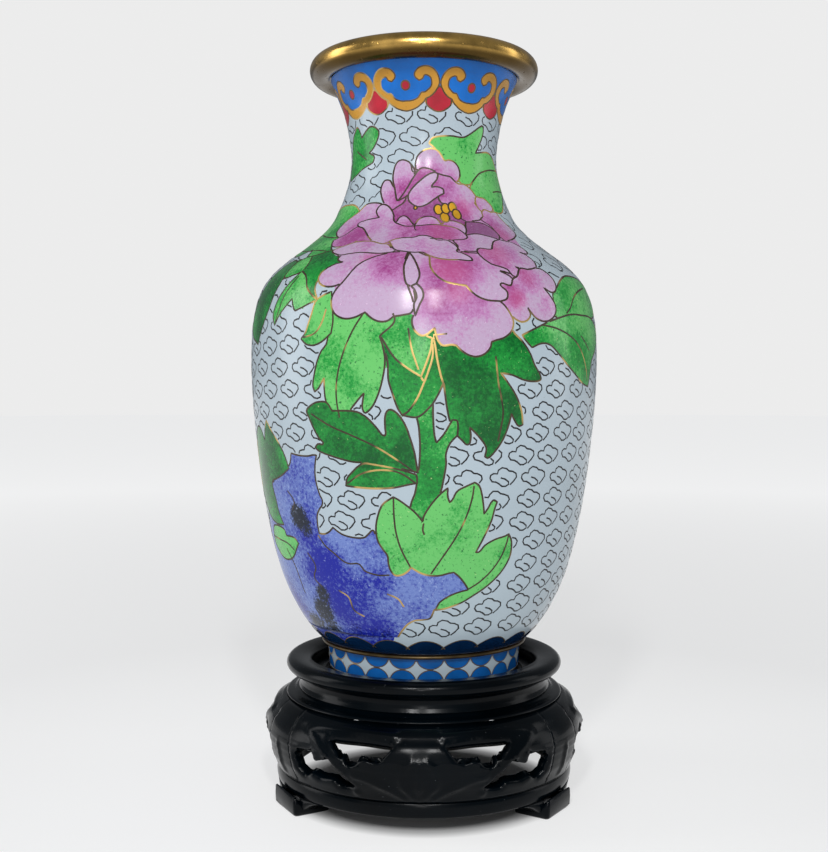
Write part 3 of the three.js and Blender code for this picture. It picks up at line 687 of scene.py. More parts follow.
# Outlines are (azimuth in degrees, height in mm), from the area at the back to the one in front; a
# third number marks a sharp corner. A shading spot is (azimuth, height, size in mm, share).
PETALS = [
    ([(-26, 160), (-6, 158), (-1, 153), (20, 151), (26, 160), (40, 160), (42, 174), (48, 186), (30, 195),
      (10, 204), (-14, 202), (-20, 192), (-45, 187), (-30, 177), (-30, 168)], dict(base=0.45, wire=None)),
    ([(-20.3, 190.2), (-17, 191), (-12, 193.5), (-4, 190.9), (12.6, 195.4), (20.5, 192.5), (22, 186),
      (19, 181), (12, 179.3), (5, 180), (-15, 178.5), (-20, 180)],
     dict(base=0.85, dark=[(0, 188, 14, 0.45), (14, 186, 9, 0.5)])),
    ([(-31, 197.5), (-30.3, 199.3), (-28.5, 200.2), (-24.6, 199.9), (-22.5, 198.5), (-20.5, 197.3, 1),
      (-14, 196), (-12, 193.5), (-17, 191), (-20.3, 190.2), (-26.2, 192.6), (-29.8, 195.5)],
     dict(base=0.12, deep=[(-15, 193, 6.5, 0.8)])),
    ([(-20.5, 197.3, 1), (-22.8, 200.7), (-22.6, 203.7), (-20.8, 205.7), (-17, 206.5), (-12.5, 206),
      (-9.8, 205, 1), (-7, 202.5), (-10, 198), (-14, 195), (-17, 193)],
     dict(base=0.1, deep=[(-12, 196.5, 6, 1.0)])),
    ([(-6.2, 203.2, 1), (-6.6, 205), (-5.8, 207), (-3, 208.6), (1, 209.6), (6, 209.9), (10.2, 209.2),
      (13, 207.7), (15, 206.3), (18.5, 206.5), (22.3, 206), (25.2, 204.8), (26.4, 202.9), (25.8, 201.2),
      (24.2, 199.9, 1), (22.5, 199.5), (20, 200.3), (17, 201.2), (10, 202), (5, 201.8), (-2, 203)],
     dict(base=0.1, deep=[(4, 201, 6, 0.85), (18, 200, 4, 0.5)])),
    ([(-17, 193, 1), (-12, 197), (-8, 200.5), (-3, 203.5), (2, 203.6), (8, 202.6, 1), (2, 201.2),
      (-3, 199.4), (-8, 197), (-11, 194.8)], dict(base=0.95)),
    ([(9.8, 201.9, 1), (14, 201.4), (18.5, 201), (21, 199.9), (24, 198.9), (28, 198.9), (31.8, 198),
      (34.8, 196.4), (36.2, 195.1, 1), (34.6, 193.7), (33.6, 192.8, 1), (35, 191.4), (37, 190),
      (36.3, 188.6), (33.5, 187.4), (29.5, 186.8), (24, 186.5), (21, 187), (19, 190), (14, 191.5),
      (10, 192.5), (9, 194.5), (12.6, 195.4), (12, 197), (5, 197.6), (8.5, 200)],
     dict(base=0.1, deep=[(10, 197, 7, 0.8), (20, 189, 6, 0.95), (30, 191, 4, 0.35)],
          rose=[(24, 191, 4, 0.5)])),
    ([(-10.5, 195), (-8, 197.2), (-3, 199.6), (2, 201.4), (7, 202.3), (9.8, 201.9, 1), (8.5, 200),
      (5.3, 198.2), (4.7, 197.4, 1), (8, 197.6), (12.5, 196.8), (12.6, 195.4, 1), (9.5, 194.6),
      (6, 193.4), (1, 191.6), (-4, 190.9), (-8, 192), (-10.2, 193.3)],
     dict(base=0.08, deep=[(-6, 193, 4, 0.5), (6, 195.5, 4, 0.35)])),
    ([(34.6, 193.7), (36.2, 195.2, 1), (39, 195), (43, 194.8), (46.5, 193.5), (48.4, 192.1),
      (47.3, 191.1), (44.5, 190.5, 1), (38, 190), (35, 191.5)], dict(base=0.12, deep=[(35, 192, 3, 0.4)])),
    ([(36.9, 190), (40, 191), (44.5, 190.5), (50, 190.6), (51.8, 189), (53.8, 187), (54.9, 184.9),
      (54, 183.6), (50, 182.3), (44, 180.9), (38.3, 180.1, 1), (37.5, 181.5), (38, 183.5), (37, 185.5),
      (34.5, 186.7), (33.5, 187.4), (36.3, 188.6)],
     dict(base=0.12, deep=[(39, 184, 7, 0.75)], rose=[(41, 182, 4, 0.4)])),
    ([(19, 181.2, 1), (20.6, 183), (21.6, 185), (22.5, 186.1, 1), (27, 186.2), (32, 186.1),
      (35.6, 185.2), (37.7, 183.5), (37.6, 181.8), (35.2, 180.4, 1), (31, 181.2), (25, 181.8),
      (22, 181.7)], dict(base=0.6, dark=[(27, 184, 12, 0.75)])),
    ([(12.7, 175.5, 1), (12.8, 177.5), (12, 179.3), (19, 181.2), (25, 181.9), (31, 181.2),
      (35.2, 180.4, 1), (31, 179.5), (28.3, 177.9), (26.5, 176.6), (23, 175.8), (18, 175.5)],
     dict(base=0.1, deep=[(16, 178.5, 5, 0.6)])),
    ([(-15.2, 185.5, 1), (-14.3, 187.2), (-12.2, 187.9), (-9.7, 187.4), (-7.3, 185.9), (-5.2, 184.3, 1),
      (-8, 183), (-13, 183.3)], dict(base=0.12, deep=[(-8, 184, 4, 0.6)])),
    ([(8.3, 184.6, 1), (11, 185.9), (15, 186.2), (18.5, 185.6), (20.9, 184.2), (19, 181.4, 1),
      (14, 181.2), (9.5, 182)], dict(base=0.2, deep=[(12, 183, 4, 0.6)])),
    ([(-5, 184.8, 1), (-3.3, 186.5), (0, 187.5), (3.5, 187.6), (6.5, 186.8), (8.3, 185.2, 1), (5, 183.9),
      (0, 183.8), (-4, 184)], dict(base=0.15, deep=[(2, 184.5, 4, 0.5)])),
    ([(-43.5, 190.7, 1), (-41.5, 192), (-39, 192.8), (-35, 193), (-31, 192.8), (-27.5, 192.4),
      (-25.5, 192.1), (-22, 191), (-19.5, 189.5), (-17.8, 188), (-16.8, 186), (-15.2, 185.5, 1),
      (-20, 183), (-30, 181.5), (-36, 181.5), (-41.5, 181.6), (-44, 181.5), (-49.5, 183), (-52.5, 184.5),
      (-53.2, 186.2), (-51.5, 187.8), (-48, 189.2)],
     dict(base=0.22, deep=[(-38, 183.5, 6, 0.6), (-22, 188, 6, 0.6)])),
    ([(-46.5, 180.8, 1), (-42, 182.5), (-37.5, 185.2), (-33.5, 184.4), (-29.5, 182.7), (-26, 180.8),
      (-22, 179, 1), (-27, 179.3), (-31, 179.6), (-35, 178.4), (-39, 178), (-43.5, 178.8)],
     dict(base=0.5, deep=[(-34, 181, 7, 0.9)])),
    ([(-38.8, 186.2), (-36, 187), (-31, 187.5), (-26.5, 187.7, 1), (-29, 189), (-30.2, 190.4),
      (-28.5, 191.9), (-25.5, 192.1), (-21.5, 190.9), (-18.3, 188.7), (-16.9, 186.5), (-15.2, 185.5, 1),
      (-10, 184.3), (-5, 184.3), (8.3, 184.6), (19, 181.4), (12, 179.3), (5.5, 179.8), (-15, 178.6),
      (-18, 178.4), (-22, 179), (-26, 180.8), (-29.5, 182.7), (-33.5, 184.4), (-37.5, 185.2)],
     dict(base=0.12, deep=[(4, 181.5, 12, 0.95), (-6, 182, 9, 0.8), (-26, 185, 5, 0.3)],
          rose=[(8, 181.5, 6, 0.4)])),
    ([(12.7, 175.4, 1), (16, 175), (20, 174.9), (23, 174.6), (26, 173.4), (28.5, 171.6), (29.3, 170),
      (28.5, 168.8), (26.5, 169.2), (25, 169.3, 1), (27.5, 168.2), (29, 166.8), (28.8, 165.5),
      (27, 164.8), (25, 165), (23.8, 165.5, 1), (25, 164), (25.8, 162), (25.3, 160.6), (23, 160.1),
      (19, 160.3), (16, 161.3), (14, 162.8), (12.5, 164.5, 1), (8.8, 165), (5.5, 166), (3, 168),
      (1.6, 170.5), (1.5, 173.5, 1), (4, 173), (8, 172.5), (12, 172.4)],
     dict(base=0.12, deep=[(10, 171, 10, 0.9), (22, 171, 5, 0.3)], rose=[(8, 169.5, 8, 0.6)])),
    ([(35.2, 180.4, 1), (38.5, 180), (41.5, 179.8), (44, 178.7), (45, 177.2), (43.6, 175.9),
      (39.8, 176.3, 1), (42, 175.4), (43.2, 173.6), (42.3, 171.8), (39.8, 170.6), (36, 170.3),
      (32, 171, 1), (33.6, 169.8), (34.3, 168.7), (32.5, 167.8), (29.5, 168), (28, 170), (22, 172),
      (20, 176), (26.5, 176.6), (28.3, 177.9), (31, 179.5)],
     dict(base=0.15, deep=[(24, 174.5, 9, 0.7), (33, 176, 5, 0.5)], rose=[(27, 176, 6, 0.5)])),
    ([(33.5, 170.5), (37, 170.4), (41.5, 171.2, 1), (44.2, 170.7), (46.8, 168.8), (47.6, 166.6),
      (46.5, 164.4), (44, 163.6), (40.8, 164.9, 1), (43, 162.4), (44.6, 159.8), (44.3, 157.5),
      (42, 155.4), (38.8, 154.6), (35.3, 155.6), (32.6, 158.5, 1), (33.4, 156.4), (32, 154.7),
      (29.8, 154.2), (27.3, 155.3), (25.3, 157.5), (23.3, 160.1, 1), (25.5, 161), (25.8, 163),
      (24, 165.3), (27.5, 165), (29, 167), (31, 168)],
     dict(base=0.12, deep=[(28, 162.5, 5.5, 0.9), (35, 167.5, 5.5, 0.8), (41, 160, 4, 0.35)],
          rose=[(29, 161, 4, 0.6), (35, 168, 4, 0.4)])),
    ([(1.5, 173.5, 1), (1.6, 170.5), (3, 168), (5.5, 166), (8.8, 165), (12.5, 164.5, 1), (14, 162.8),
      (16, 161.3), (19, 160.3), (23, 160.1, 1), (24.5, 158.8), (26, 156.7), (27, 154.5), (26.8, 152.5),
      (25.8, 150.8), (23.5, 149.3), (21, 148.6), (19.7, 148.1, 1), (19.3, 146.5), (17.5, 144.6),
      (15, 143.8), (12.5, 144.3), (10.3, 145.7), (9, 147, 1), (7.5, 147.2), (5, 147), (3.6, 148.5),
      (3, 150.5), (2.7, 152, 1), (1.5, 151), (0.5, 150.2), (-1, 149.8), (-2.5, 150.6), (-3.6, 152.3),
      (-3.9, 154.5), (-3, 157), (-3.5, 163), (-6, 168), (-5.6, 174.8)],
     dict(base=0.08, deep=[(5, 166, 9, 0.85), (3, 160, 9, 0.8), (14, 160, 8, 0.6), (10, 153, 5, 0.25)],
          rose=[(10, 163, 5, 0.5)])),
    ([(-28.5, 175.3), (-31, 175), (-32.8, 174), (-31.7, 172.9), (-29.6, 172.4, 1), (-33, 171.7),
      (-36, 169.9), (-36.8, 167.8), (-35.4, 165.9), (-32.3, 164.8), (-28.8, 165), (-25.5, 166.6),
      (-22, 168.9), (-18.7, 170.5, 1), (-14, 172), (-12, 174.9), (-17, 174.8), (-23, 175.3)],
     dict(base=0.08, deep=[(-17, 173.5, 6, 0.7), (-27, 169.5, 5, 0.3)], rose=[(-20, 172, 4, 0.4)])),
    ([(-6.3, 174.9, 1), (-12, 175), (-22, 172), (-26.5, 166.2), (-28.4, 164), (-29.6, 161.5),
      (-29.3, 158.5), (-27.6, 156.2), (-24.5, 155), (-21.3, 155.3), (-18, 156.7, 1), (-16.3, 155.2),
      (-13.8, 154), (-11.2, 154.1), (-9.3, 155.4, 1), (-6.5, 155.8), (-4, 156.6), (-3.6, 159.5),
      (-5.2, 164), (-6.9, 168.5), (-7, 172)],
     dict(base=0.03, deep=[(-12, 172.5, 9, 0.85), (-8, 168, 6, 0.5), (-20, 168, 5, 0.3)])),
    ([(-39, 177), (-35, 178.2), (-32, 179), (-28, 179.4), (-23, 179.2), (-18, 178.2), (-14.7, 177.8),
      (-12.5, 176.2), (-11.2, 175.6), (-13.5, 175), (-17, 174.8), (-21, 175.1), (-25, 175.4),
      (-29, 175.2), (-33, 174.9), (-36.5, 175.6), (-38.8, 176.4)],
     dict(base=0.1, deep=[(-24, 178.5, 4, 0.3)])),
    ([(-5.6, 174.8, 1), (-4, 173), (-2.4, 170), (-1.8, 167.5), (-2.7, 165, 1), (-4.3, 164.3),
      (-5.8, 165), (-6.7, 168), (-6.9, 171)], dict(base=0.05)),
    ([(-2.7, 165, 1), (-1.1, 163.4), (-0.6, 161.3), (-1.8, 158.6), (-3, 155.5, 1), (-3.4, 158.8),
      (-2.6, 161), (-3.2, 163), (-4.3, 164.3, 1)], dict(base=0.05)),
    ([(-15, 179, 1), (-12.5, 179.7), (-9, 180.1), (-5, 180.2), (-2, 180.8), (1, 180.7), (3.5, 180),
      (5.3, 179.2), (9, 179.2), (11.5, 178), (12.6, 176.5), (11.8, 175.4), (13, 175), (15.5, 173.8),
      (16.4, 172.7), (15.5, 172.3), (12, 172.5), (8, 172.5), (4, 173), (1, 174), (-1, 174.9),
      (-4, 174.9), (-8, 175.3), (-11.5, 176), (-13.5, 177.6)],
     dict(base=0.1, deep=[(-2, 176, 5, 0.35), (9, 174.5, 4, 0.2)])),
]

LEAVES = [
    ([(-12, 152), (5, 152), (5, 146), (3.4, 138), (0, 134), (-6, 132), (-10, 138), (-13, 146)],
     dict(base=0.6, wire=None)),
    ([(3.4, 211.6, 1), (5.5, 213), (10, 213.7), (20, 214.1), (30, 214), (36, 215.2), (42, 217),
      (47, 218.4), (49.4, 218.3, 1), (50, 216.3), (49, 214.6), (46, 211.9), (42.6, 209.7, 1),
      (50, 210.3), (58, 210.7), (66, 209.8), (76, 206, 1), (60, 205.2), (52, 204.4), (44, 203),
      (38, 200.8), (34.3, 199.2, 1), (31, 198.8), (24, 200), (10, 209)], dict(base=0.22)),
    ([(34.3, 199.2, 1), (38, 200.8), (44, 203), (52, 204.4), (60, 205.2), (76, 206, 1), (82, 203),
      (78, 199), (72, 196.5), (66, 194.2), (60, 191.6), (54, 190.5), (49, 190.9, 1), (48.4, 192.2),
      (46, 193.7), (42, 194.9), (38, 195.1), (36.2, 195.2), (34.8, 196.4), (33, 197.6)], dict(base=0.3)),
    ([(44.3, 163, 1), (47.5, 165.3), (50, 167), (54, 168.8), (58, 169.7), (66, 169.8), (74, 169),
      (84, 166, 1), (80, 160), (70, 156.8), (58, 157.4), (52, 157.2), (46, 156), (43.5, 156.3, 1)],
     dict(base=0.42)),
    ([(30, 150.3, 1), (34, 152), (40, 154.3), (46, 156), (52, 157.2), (58, 157.4), (70, 156.8),
      (82, 152, 1), (74, 147), (68, 143.5), (66, 139), (64.6, 135.2, 1), (60, 136), (54, 139), (49, 142),
      (44.5, 145.3), (41, 147.6), (37.5, 148), (33.5, 146.7, 1), (31, 149)], dict(base=0.48)),
    ([(2.4, 150, 1), (26, 152), (27.5, 150.6), (30.3, 148.2), (32.8, 145), (34.6, 141.5), (37.2, 137.6),
      (35.5, 136.7), (31, 137), (26.5, 138.5), (22.7, 139.1, 1), (25.5, 135.8), (28.3, 132),
      (30.3, 127.6), (30.9, 123.8, 1), (29.4, 123.5), (27.8, 125.2), (26.7, 127.1, 1), (25.8, 123.5),
      (24, 119.3), (21.5, 115.9), (19.5, 114.2), (18.4, 114.6, 1), (18.7, 117.2), (16.5, 120.2),
      (13.3, 123.3, 1), (13.7, 120.2), (12.9, 118.2), (11, 119.5), (9.4, 121, 1), (7.8, 123.5),
      (6.5, 128), (5.3, 136, 1), (4.8, 137.5), (3.5, 142)], dict(base=0.85)),
    ([(-2.2, 128), (2.2, 130, 1), (2.3, 125.5), (2.7, 121), (3.3, 118.8, 1), (5.5, 121.3), (8, 125.5, 1),
      (9.5, 125), (9.6, 121, 1), (7.4, 118.6), (6.2, 115.5), (6.3, 112.5), (5.6, 108), (4.6, 104),
      (2.8, 101.6), (0.6, 98.8), (-0.9, 96, 1), (-2.2, 96.6), (-4.6, 98.6), (-4.4, 101), (-3.2, 104),
      (-2.4, 108.5), (-1.8, 113), (-1.6, 118), (-1.9, 123)], dict(base=0.7)),
    ([(-12.4, 147.5, 1), (-8.7, 143.2), (-5, 140.3), (-1.4, 138.1, 1), (-0.5, 136), (-2.5, 131.5),
      (-5, 128), (-6.8, 126.8, 1), (-8.2, 129), (-9.6, 133), (-10.8, 137), (-11, 142)], dict(base=0.8)),
    ([(2, 149, 1), (2.1, 144), (1, 140), (-0.5, 136), (-2.5, 131.5), (-5, 128), (-6.8, 126.8, 1),
      (-3, 126.2), (-1, 127), (2.2, 130.2, 1), (3.8, 133), (5.2, 136, 1), (4.4, 138.5), (3.4, 143),
      (2.6, 148)], dict(base=0.75)),
    ([(-13, 149.5, 1), (-9, 143.5), (-5, 140.3), (-1.3, 138, 1), (0.3, 142), (1.6, 146), (2, 149, 1),
      (0, 150), (-4, 156), (-9, 155)], dict(base=0.3)),
    ([(-29, 158, 1), (-30.5, 148), (-32.5, 145.5), (-34, 142.5), (-35.2, 138.5), (-35.8, 135.5),
      (-35.2, 133.6, 1), (-33.8, 134.5), (-32.5, 136.2), (-31.5, 137.7, 1), (-31.5, 134), (-31, 130.5),
      (-29.5, 128), (-27.8, 126.3), (-26, 125), (-25, 124.8, 1), (-24.3, 126), (-23, 128), (-21.3, 130),
      (-19.5, 132), (-18.3, 133.2, 1), (-18.7, 131), (-18.9, 129), (-18.2, 127.5), (-17, 128),
      (-15.3, 130), (-13.5, 134), (-12.2, 139), (-11.8, 143), (-12.5, 147), (-13.4, 149.7, 1), (-9, 155),
      (-16, 160)], dict(base=0.2)),
    ([(-57, 175, 1), (-52, 174.8), (-49.5, 176.5), (-44, 177.3), (-39.5, 177, 1), (-36, 175.2),
      (-31, 173), (-33, 170), (-37, 166), (-35, 160.8, 1), (-38, 160), (-41, 158.9), (-44, 158, 1),
      (-46.5, 161.8, 1), (-49, 159.7), (-52, 157), (-54.2, 154, 1), (-55.8, 157), (-55.2, 160.5),
      (-53, 164), (-50, 167.5), (-46.7, 170.3, 1), (-50, 170), (-55, 168.9), (-57.5, 168.3, 1),
      (-57, 171), (-56.5, 173)], dict(base=0.8)),
    ([(-57.8, 170.5, 1), (-56, 173.5), (-53, 175.2), (-49, 175.4), (-46.8, 173.5), (-46.3, 171.5),
      (-47, 170.3), (-51, 169.4), (-55.5, 168.8)], dict(base=0.45)),
    ([(-46.7, 170.5, 1), (-50, 167.5), (-53, 164), (-55.2, 160.5), (-55.8, 157), (-54.2, 154, 1),
      (-52, 157), (-49, 159.7), (-46.4, 161.8, 1), (-45, 159), (-44, 158, 1), (-41, 158.9), (-38, 160),
      (-35, 160.9, 1), (-38, 162.8), (-40.5, 165), (-43, 168.5)], dict(base=0.3)),
    ([(-30, 163.2, 1), (-33, 162.2), (-35.6, 160.5), (-36.6, 157), (-37.8, 153.5), (-38.9, 151),
      (-40.5, 149.4, 1), (-38.3, 147.8), (-35.3, 147.4), (-32.3, 148.4), (-29, 150.8, 1), (-28.5, 155)],
     dict(base=0.2)),
    ([(-44, 190.8, 1), (-48, 192.3), (-53, 193.3), (-60, 193.7), (-70, 193.8), (-82, 193), (-92, 190, 1),
      (-82, 185), (-70, 183.5), (-60, 182.8), (-50, 181.8), (-42, 181.5, 1)], dict(base=0.35)),
    ([(-42, 181.5, 1), (-50, 182), (-60, 183), (-72, 184), (-84, 180, 1), (-70, 177), (-62, 176.5),
      (-55, 178), (-52, 175.5), (-40, 176.9, 1), (-44, 179), (-46, 180.5)], dict(base=0.45)),
    ([(-56.5, 174.3, 1), (-62, 175), (-68, 172), (-74, 165), (-78, 158), (-76, 152), (-70, 149.5),
      (-67, 148.5, 1), (-66, 150), (-62, 155.5), (-59.5, 160), (-58, 164), (-56.7, 168.5)], dict(base=0.8)),
    ([(-62, 124.7, 1), (-58, 121), (-54, 117.5), (-51.3, 114), (-49.6, 110, 1), (-54, 107.8),
      (-59, 106.2), (-62.5, 105), (-61.5, 100), (-60.5, 95.5), (-58.3, 91.8, 1), (-64, 91.6), (-70, 93),
      (-76, 97), (-80, 104), (-80, 112), (-77, 119), (-72, 122.5), (-68, 121.5), (-65.2, 118.3, 1),
      (-64, 121.5)], dict(base=0.85)),
    ([(-70, 90), (-66, 91), (-61, 90.8), (-58.5, 90), (-57.8, 88.5), (-55, 88.4), (-52, 88),
      (-50.3, 86.5, 1), (-52.5, 84.5), (-55, 82.3), (-58, 80.9), (-62, 80.3), (-66, 80.6), (-70, 82.5),
      (-73, 85)], dict(base=0.2)),
    ([(-12, 80.5), (-10.5, 79), (-8, 79.2), (-6, 80.3), (-4.8, 81.5, 1), (-3, 80.5), (-1, 79.6), (2, 79),
      (5, 79), (8, 79.6), (10, 79.9, 1), (12, 78.5), (14.5, 76), (15.8, 74.3, 1), (12, 73.5), (9, 72.5),
      (5.5, 70.5), (4.5, 69), (4, 68, 1), (7, 68.3), (10, 69), (14, 70.3), (18, 72.3), (22, 74.5),
      (25.5, 77), (28.5, 80), (30.5, 83.5), (30.8, 86.5), (30.3, 89), (29, 91, 1), (27.5, 90.4),
      (24, 89.6), (20.5, 88), (18.5, 86), (17.3, 85.9, 1), (19, 89), (20.5, 92), (22, 95.5), (22.8, 99),
      (23.5, 101, 1), (22, 101.5), (20.3, 99), (19.2, 97.5, 1), (18.8, 100), (18, 103.5), (17, 106),
      (15.5, 107, 1), (13, 106), (10, 104.5), (8.5, 102), (7.7, 101.2, 1), (7, 103), (7, 105.5, 1),
      (5, 104), (3, 102), (1, 99.5), (-0.5, 97), (-0.8, 95.5, 1), (-3, 98), (-5.5, 100), (-8, 101.7),
      (-10, 102.8, 1), (-13.5, 100.5), (-15.3, 97), (-16.2, 93), (-15.8, 89.5), (-14.3, 87), (-12.8, 85),
      (-12.6, 82.5)], dict(base=0.15)),
    ([(-38.5, 128.5, 1), (-37, 129.5), (-34.5, 130.5), (-31, 130.4), (-29, 128, 1), (-22.5, 128),
      (-20, 127.5), (-17.5, 126), (-15, 123.5), (-13, 121, 1), (-12, 121), (-12, 123), (-12, 126),
      (-11.3, 128), (-10, 128.4), (-8, 127), (-6, 124), (-4.5, 120), (-3.3, 116), (-2.6, 112),
      (-2.3, 110, 1), (-4, 110.5), (-8, 111.3), (-13, 112.2), (-18, 112.7), (-23, 113), (-28, 114),
      (-32, 115), (-35, 116), (-36.2, 117, 1), (-35, 118), (-33, 118.2), (-34.5, 119.8), (-36.5, 123),
      (-38, 126), (-38.8, 127.5)], dict(base=0.8)),
    ([(-25.6, 105.8, 1), (-25, 108), (-23, 110), (-20.5, 112), (-18, 112.6), (-3, 109.5), (-2.5, 107, 1),
      (-6, 106.3), (-10, 105.5), (-15, 105.2), (-20, 105.3), (-25, 105.7)], dict(base=0.75)),
    ([(-36, 216.2, 1), (-39, 217.5), (-44, 218), (-49, 217), (-54, 215.7), (-55.5, 215.3, 1),
      (-56.5, 217), (-58.5, 218.5), (-61, 218.8), (-64, 217.8), (-68, 216.8), (-73, 214.5), (-77, 210),
      (-78, 205), (-73, 202.5), (-67, 203), (-60, 204), (-55, 205), (-49, 205.8), (-44.5, 206.3),
      (-42, 207), (-41.5, 208.5), (-44, 209.3), (-47, 210, 1), (-43, 211), (-39, 213), (-36.5, 215)],
     dict(base=0.55)),
]


def areas(kind, table):
    """The shapes of one colour family from its table of outlines and settings."""
    return [Shape(kind, points, **settings) for points, settings in table]


def blossom():
    """The peony: its petals and, last, its stamens."""
    stamens = [oval(x, z, 5.2, 1.7) for x, z in
               ((11.3, 187.4), (8.1, 190.0), (12.6, 190.4), (17.0, 190.9), (18.8, 188.6))]
    stamens.append(oval(-5.5, 190.6, 2.0, 0.6))
    return areas("petal", PETALS) + [Shape("stamen", points) for points in stamens]


def oval(x, z, wide, high):
    """Six points round an ellipse that is this many degrees wide and half this many mm high."""
    turns = [k * math.pi / 3 for k in range(6)]
    return [(x + 0.5 * wide * math.cos(a), z + high * math.sin(a)) for a in turns]


def rockery():
    """The blue rock that rises from the scallops at the left."""
    spots = [(-48, 95, 6, 1.0), (-44, 92, 5, 0.8), (-43, 71, 5, 0.9), (-46, 65, 7, 1.0), (-45, 60, 6, 0.9),
             (-56, 58, 9, 0.9), (-20, 58, 8, 0.5), (-30, 60, 6, 0.5)]
    deep = [(-44, 90, 9, 0.6), (-39, 80, 11, 0.75), (-32, 70, 13, 0.85), (-24, 62, 10, 0.7),
            (-19, 77, 7, 0.5), (-68, 64, 9, 0.45), (-60, 90, 7, 0.4)]
    return [Shape("rock", [
        (-50, 110.2, 1), (-48.5, 112), (-47.5, 114.8, 1), (-44, 114.3), (-40, 114.2), (-37.5, 114.6),
        (-36, 114.6, 1), (-36.8, 112), (-37.2, 109), (-37, 106), (-36, 102.5), (-35.2, 101), (-35.5, 99.5),
        (-37, 98), (-38.2, 96), (-38.5, 93), (-38.3, 90.6, 1), (-36, 90.6), (-34, 91.3), (-32, 92.8, 1),
        (-30.5, 91.8), (-28, 90.7), (-24, 90.1), (-20.5, 90.3), (-18.7, 91.6), (-17.3, 92.6), (-16.5, 91.5),
        (-12, 88), (-6, 84), (4, 82), (10, 79.8), (12, 78.5), (14.5, 76), (15.7, 74.5, 1), (12, 73),
        (9, 72), (7, 71), (5, 69.8), (3.5, 68), (3, 66.8), (2, 65.3), (-0.5, 64.8), (-4, 64.5), (-7, 63.2),
        (-9.5, 61), (-11.5, 59), (-13.5, 57, 1), (-40, 57), (-66, 57), (-92, 57, 1), (-90, 66), (-86, 76),
        (-80, 84), (-76, 92), (-70, 98), (-62, 105, 1), (-59, 106.2), (-54, 107.8)],
        0.1, deep, (), spots)]


VEINS = {
    "leaf": [
        [(56, 197.7), (62, 198.3), (75, 199)],
        [(50, 157.5), (53, 159.5), (55.5, 162), (58, 163.6), (63, 165.3), (70, 166.6)],
        [(38, 153.5), (44, 152.7), (50, 151), (55, 148.7), (59, 145.3), (62, 141), (63.5, 137)],
        [(58, 151), (61, 149.3), (65, 146.5)],
        [(21, 144), (22, 136), (23, 132), (23.8, 127), (22.5, 119)],
        [(-5, 152), (-4, 146), (-2, 140)],
        [(-18.5, 156.5), (-21.5, 152), (-24, 147), (-26, 141.5), (-27.2, 136), (-27.3, 131), (-26.5, 126)],
        [(-31.2, 158), (-32.5, 154), (-35, 151), (-39.5, 149.8)],
        [(-54, 155), (-51, 163), (-47, 169)],
        [(-72, 179), (-57, 177.8), (-50, 177.6), (-43, 176.9)],
        [(-73, 87), (-65, 86.5), (-58, 85.8), (-54, 84)],
        [(-10, 102.5), (-10, 97), (-9.5, 92), (-8, 87), (-5, 81.5)],
        [(15.3, 106), (15, 103), (14, 99), (12, 94), (9, 89), (5, 83.5), (2, 79.5)],
        [(29, 91), (28.5, 88), (27, 84), (24, 80), (20, 76.7), (16, 74.5)],
        [(-37, 127), (-30, 123.5), (-22, 120.5), (-15, 117.5), (-9, 114), (-3, 110)],
        [(-25, 106.5), (-20, 109.5), (-14, 110.7), (-8, 110), (-3, 107)],
        [(-64, 211.5), (-50, 208)],
    ],
    "petal": [
        [(-10, 205), (-8.5, 202.6), (-5, 202.7)],
        [(-5, 185), (-5, 183.5), (-4, 182.6)],
        [(-0.5, 95), (-0.8, 93), (-0.3, 91.5)],
    ],
    "rock": [
        [(-39, 90), (-36.5, 87), (-33, 84.8), (-29.5, 82.5), (-27, 81.9), (-23.5, 82), (-21.5, 80),
         (-19, 79.2), (-16, 78.8), (-12.5, 79)],
        [(-52, 103), (-49, 100), (-50.5, 97)], [(-46, 84), (-43, 80), (-45, 76), (-42, 73.5)],
        [(-34, 73), (-30, 71), (-29, 67), (-25, 65)], [(-14, 73), (-10, 71.5), (-8, 69)],
        [(-60, 84), (-56, 78), (-55, 70)],
    ],
}

CLOUD_SHARE = 4
CLOUD = [(-1.1, -0.2), (0.5, -0.6), (1.84, -1.4), (1.97, -2.2), (0.85, -2.7), (-0.46, -2.7), (-1.64, -1.9),
         (-2.76, -1.4), (-4.1, -1.25), (-4.9, -0.3), (-4.7, 0.6), (-3.75, 1.06), (-2.4, 0.94), (-2.1, 2.0),
         (-0.8, 2.7), (0.85, 2.4), (1.84, 1.7), (3.15, 1.56), (4.5, 0.94), (4.8, -0.12), (3.8, -1.25),
         (2.5, -2.3)]


def picture():
    """The whole picture: the front, and a smaller mirrored one on the back of the vase."""
    front = rockery() + areas("leaf", LEAVES) + blossom()
    def behind(p):
        p = np.asarray(p, dtype=float)
        z = np.where(p[:, 1] > 60, 60 + (p[:, 1] - 60) * 0.96, p[:, 1])
        return np.stack([180 - p[:, 0] * 0.86, z], -1)
    back = [shape.moved(behind) for shape in front]
    veins = [(kind, through(line, False)) for kind, group in VEINS.items() for line in group]
    veins += [(kind, behind(line)) for kind, line in veins]
    return back + front, veins


# ------------------------------------------------------------------ enamel cells and wires

FIRST_TURN = -96.5


def lattice(low, high, across, up):
    """Evenly spaced points of the chart, every other row shifted by half a step."""
    points = []
    for row, z in enumerate(np.arange(low, high, up)):
        turn = np.arange(FIRST_TURN, FIRST_TURN + 360, across) + (row % 2) * across / 2
        points.append(np.stack([turn, np.full(len(turn), z)], -1))
    return np.vstack(points)


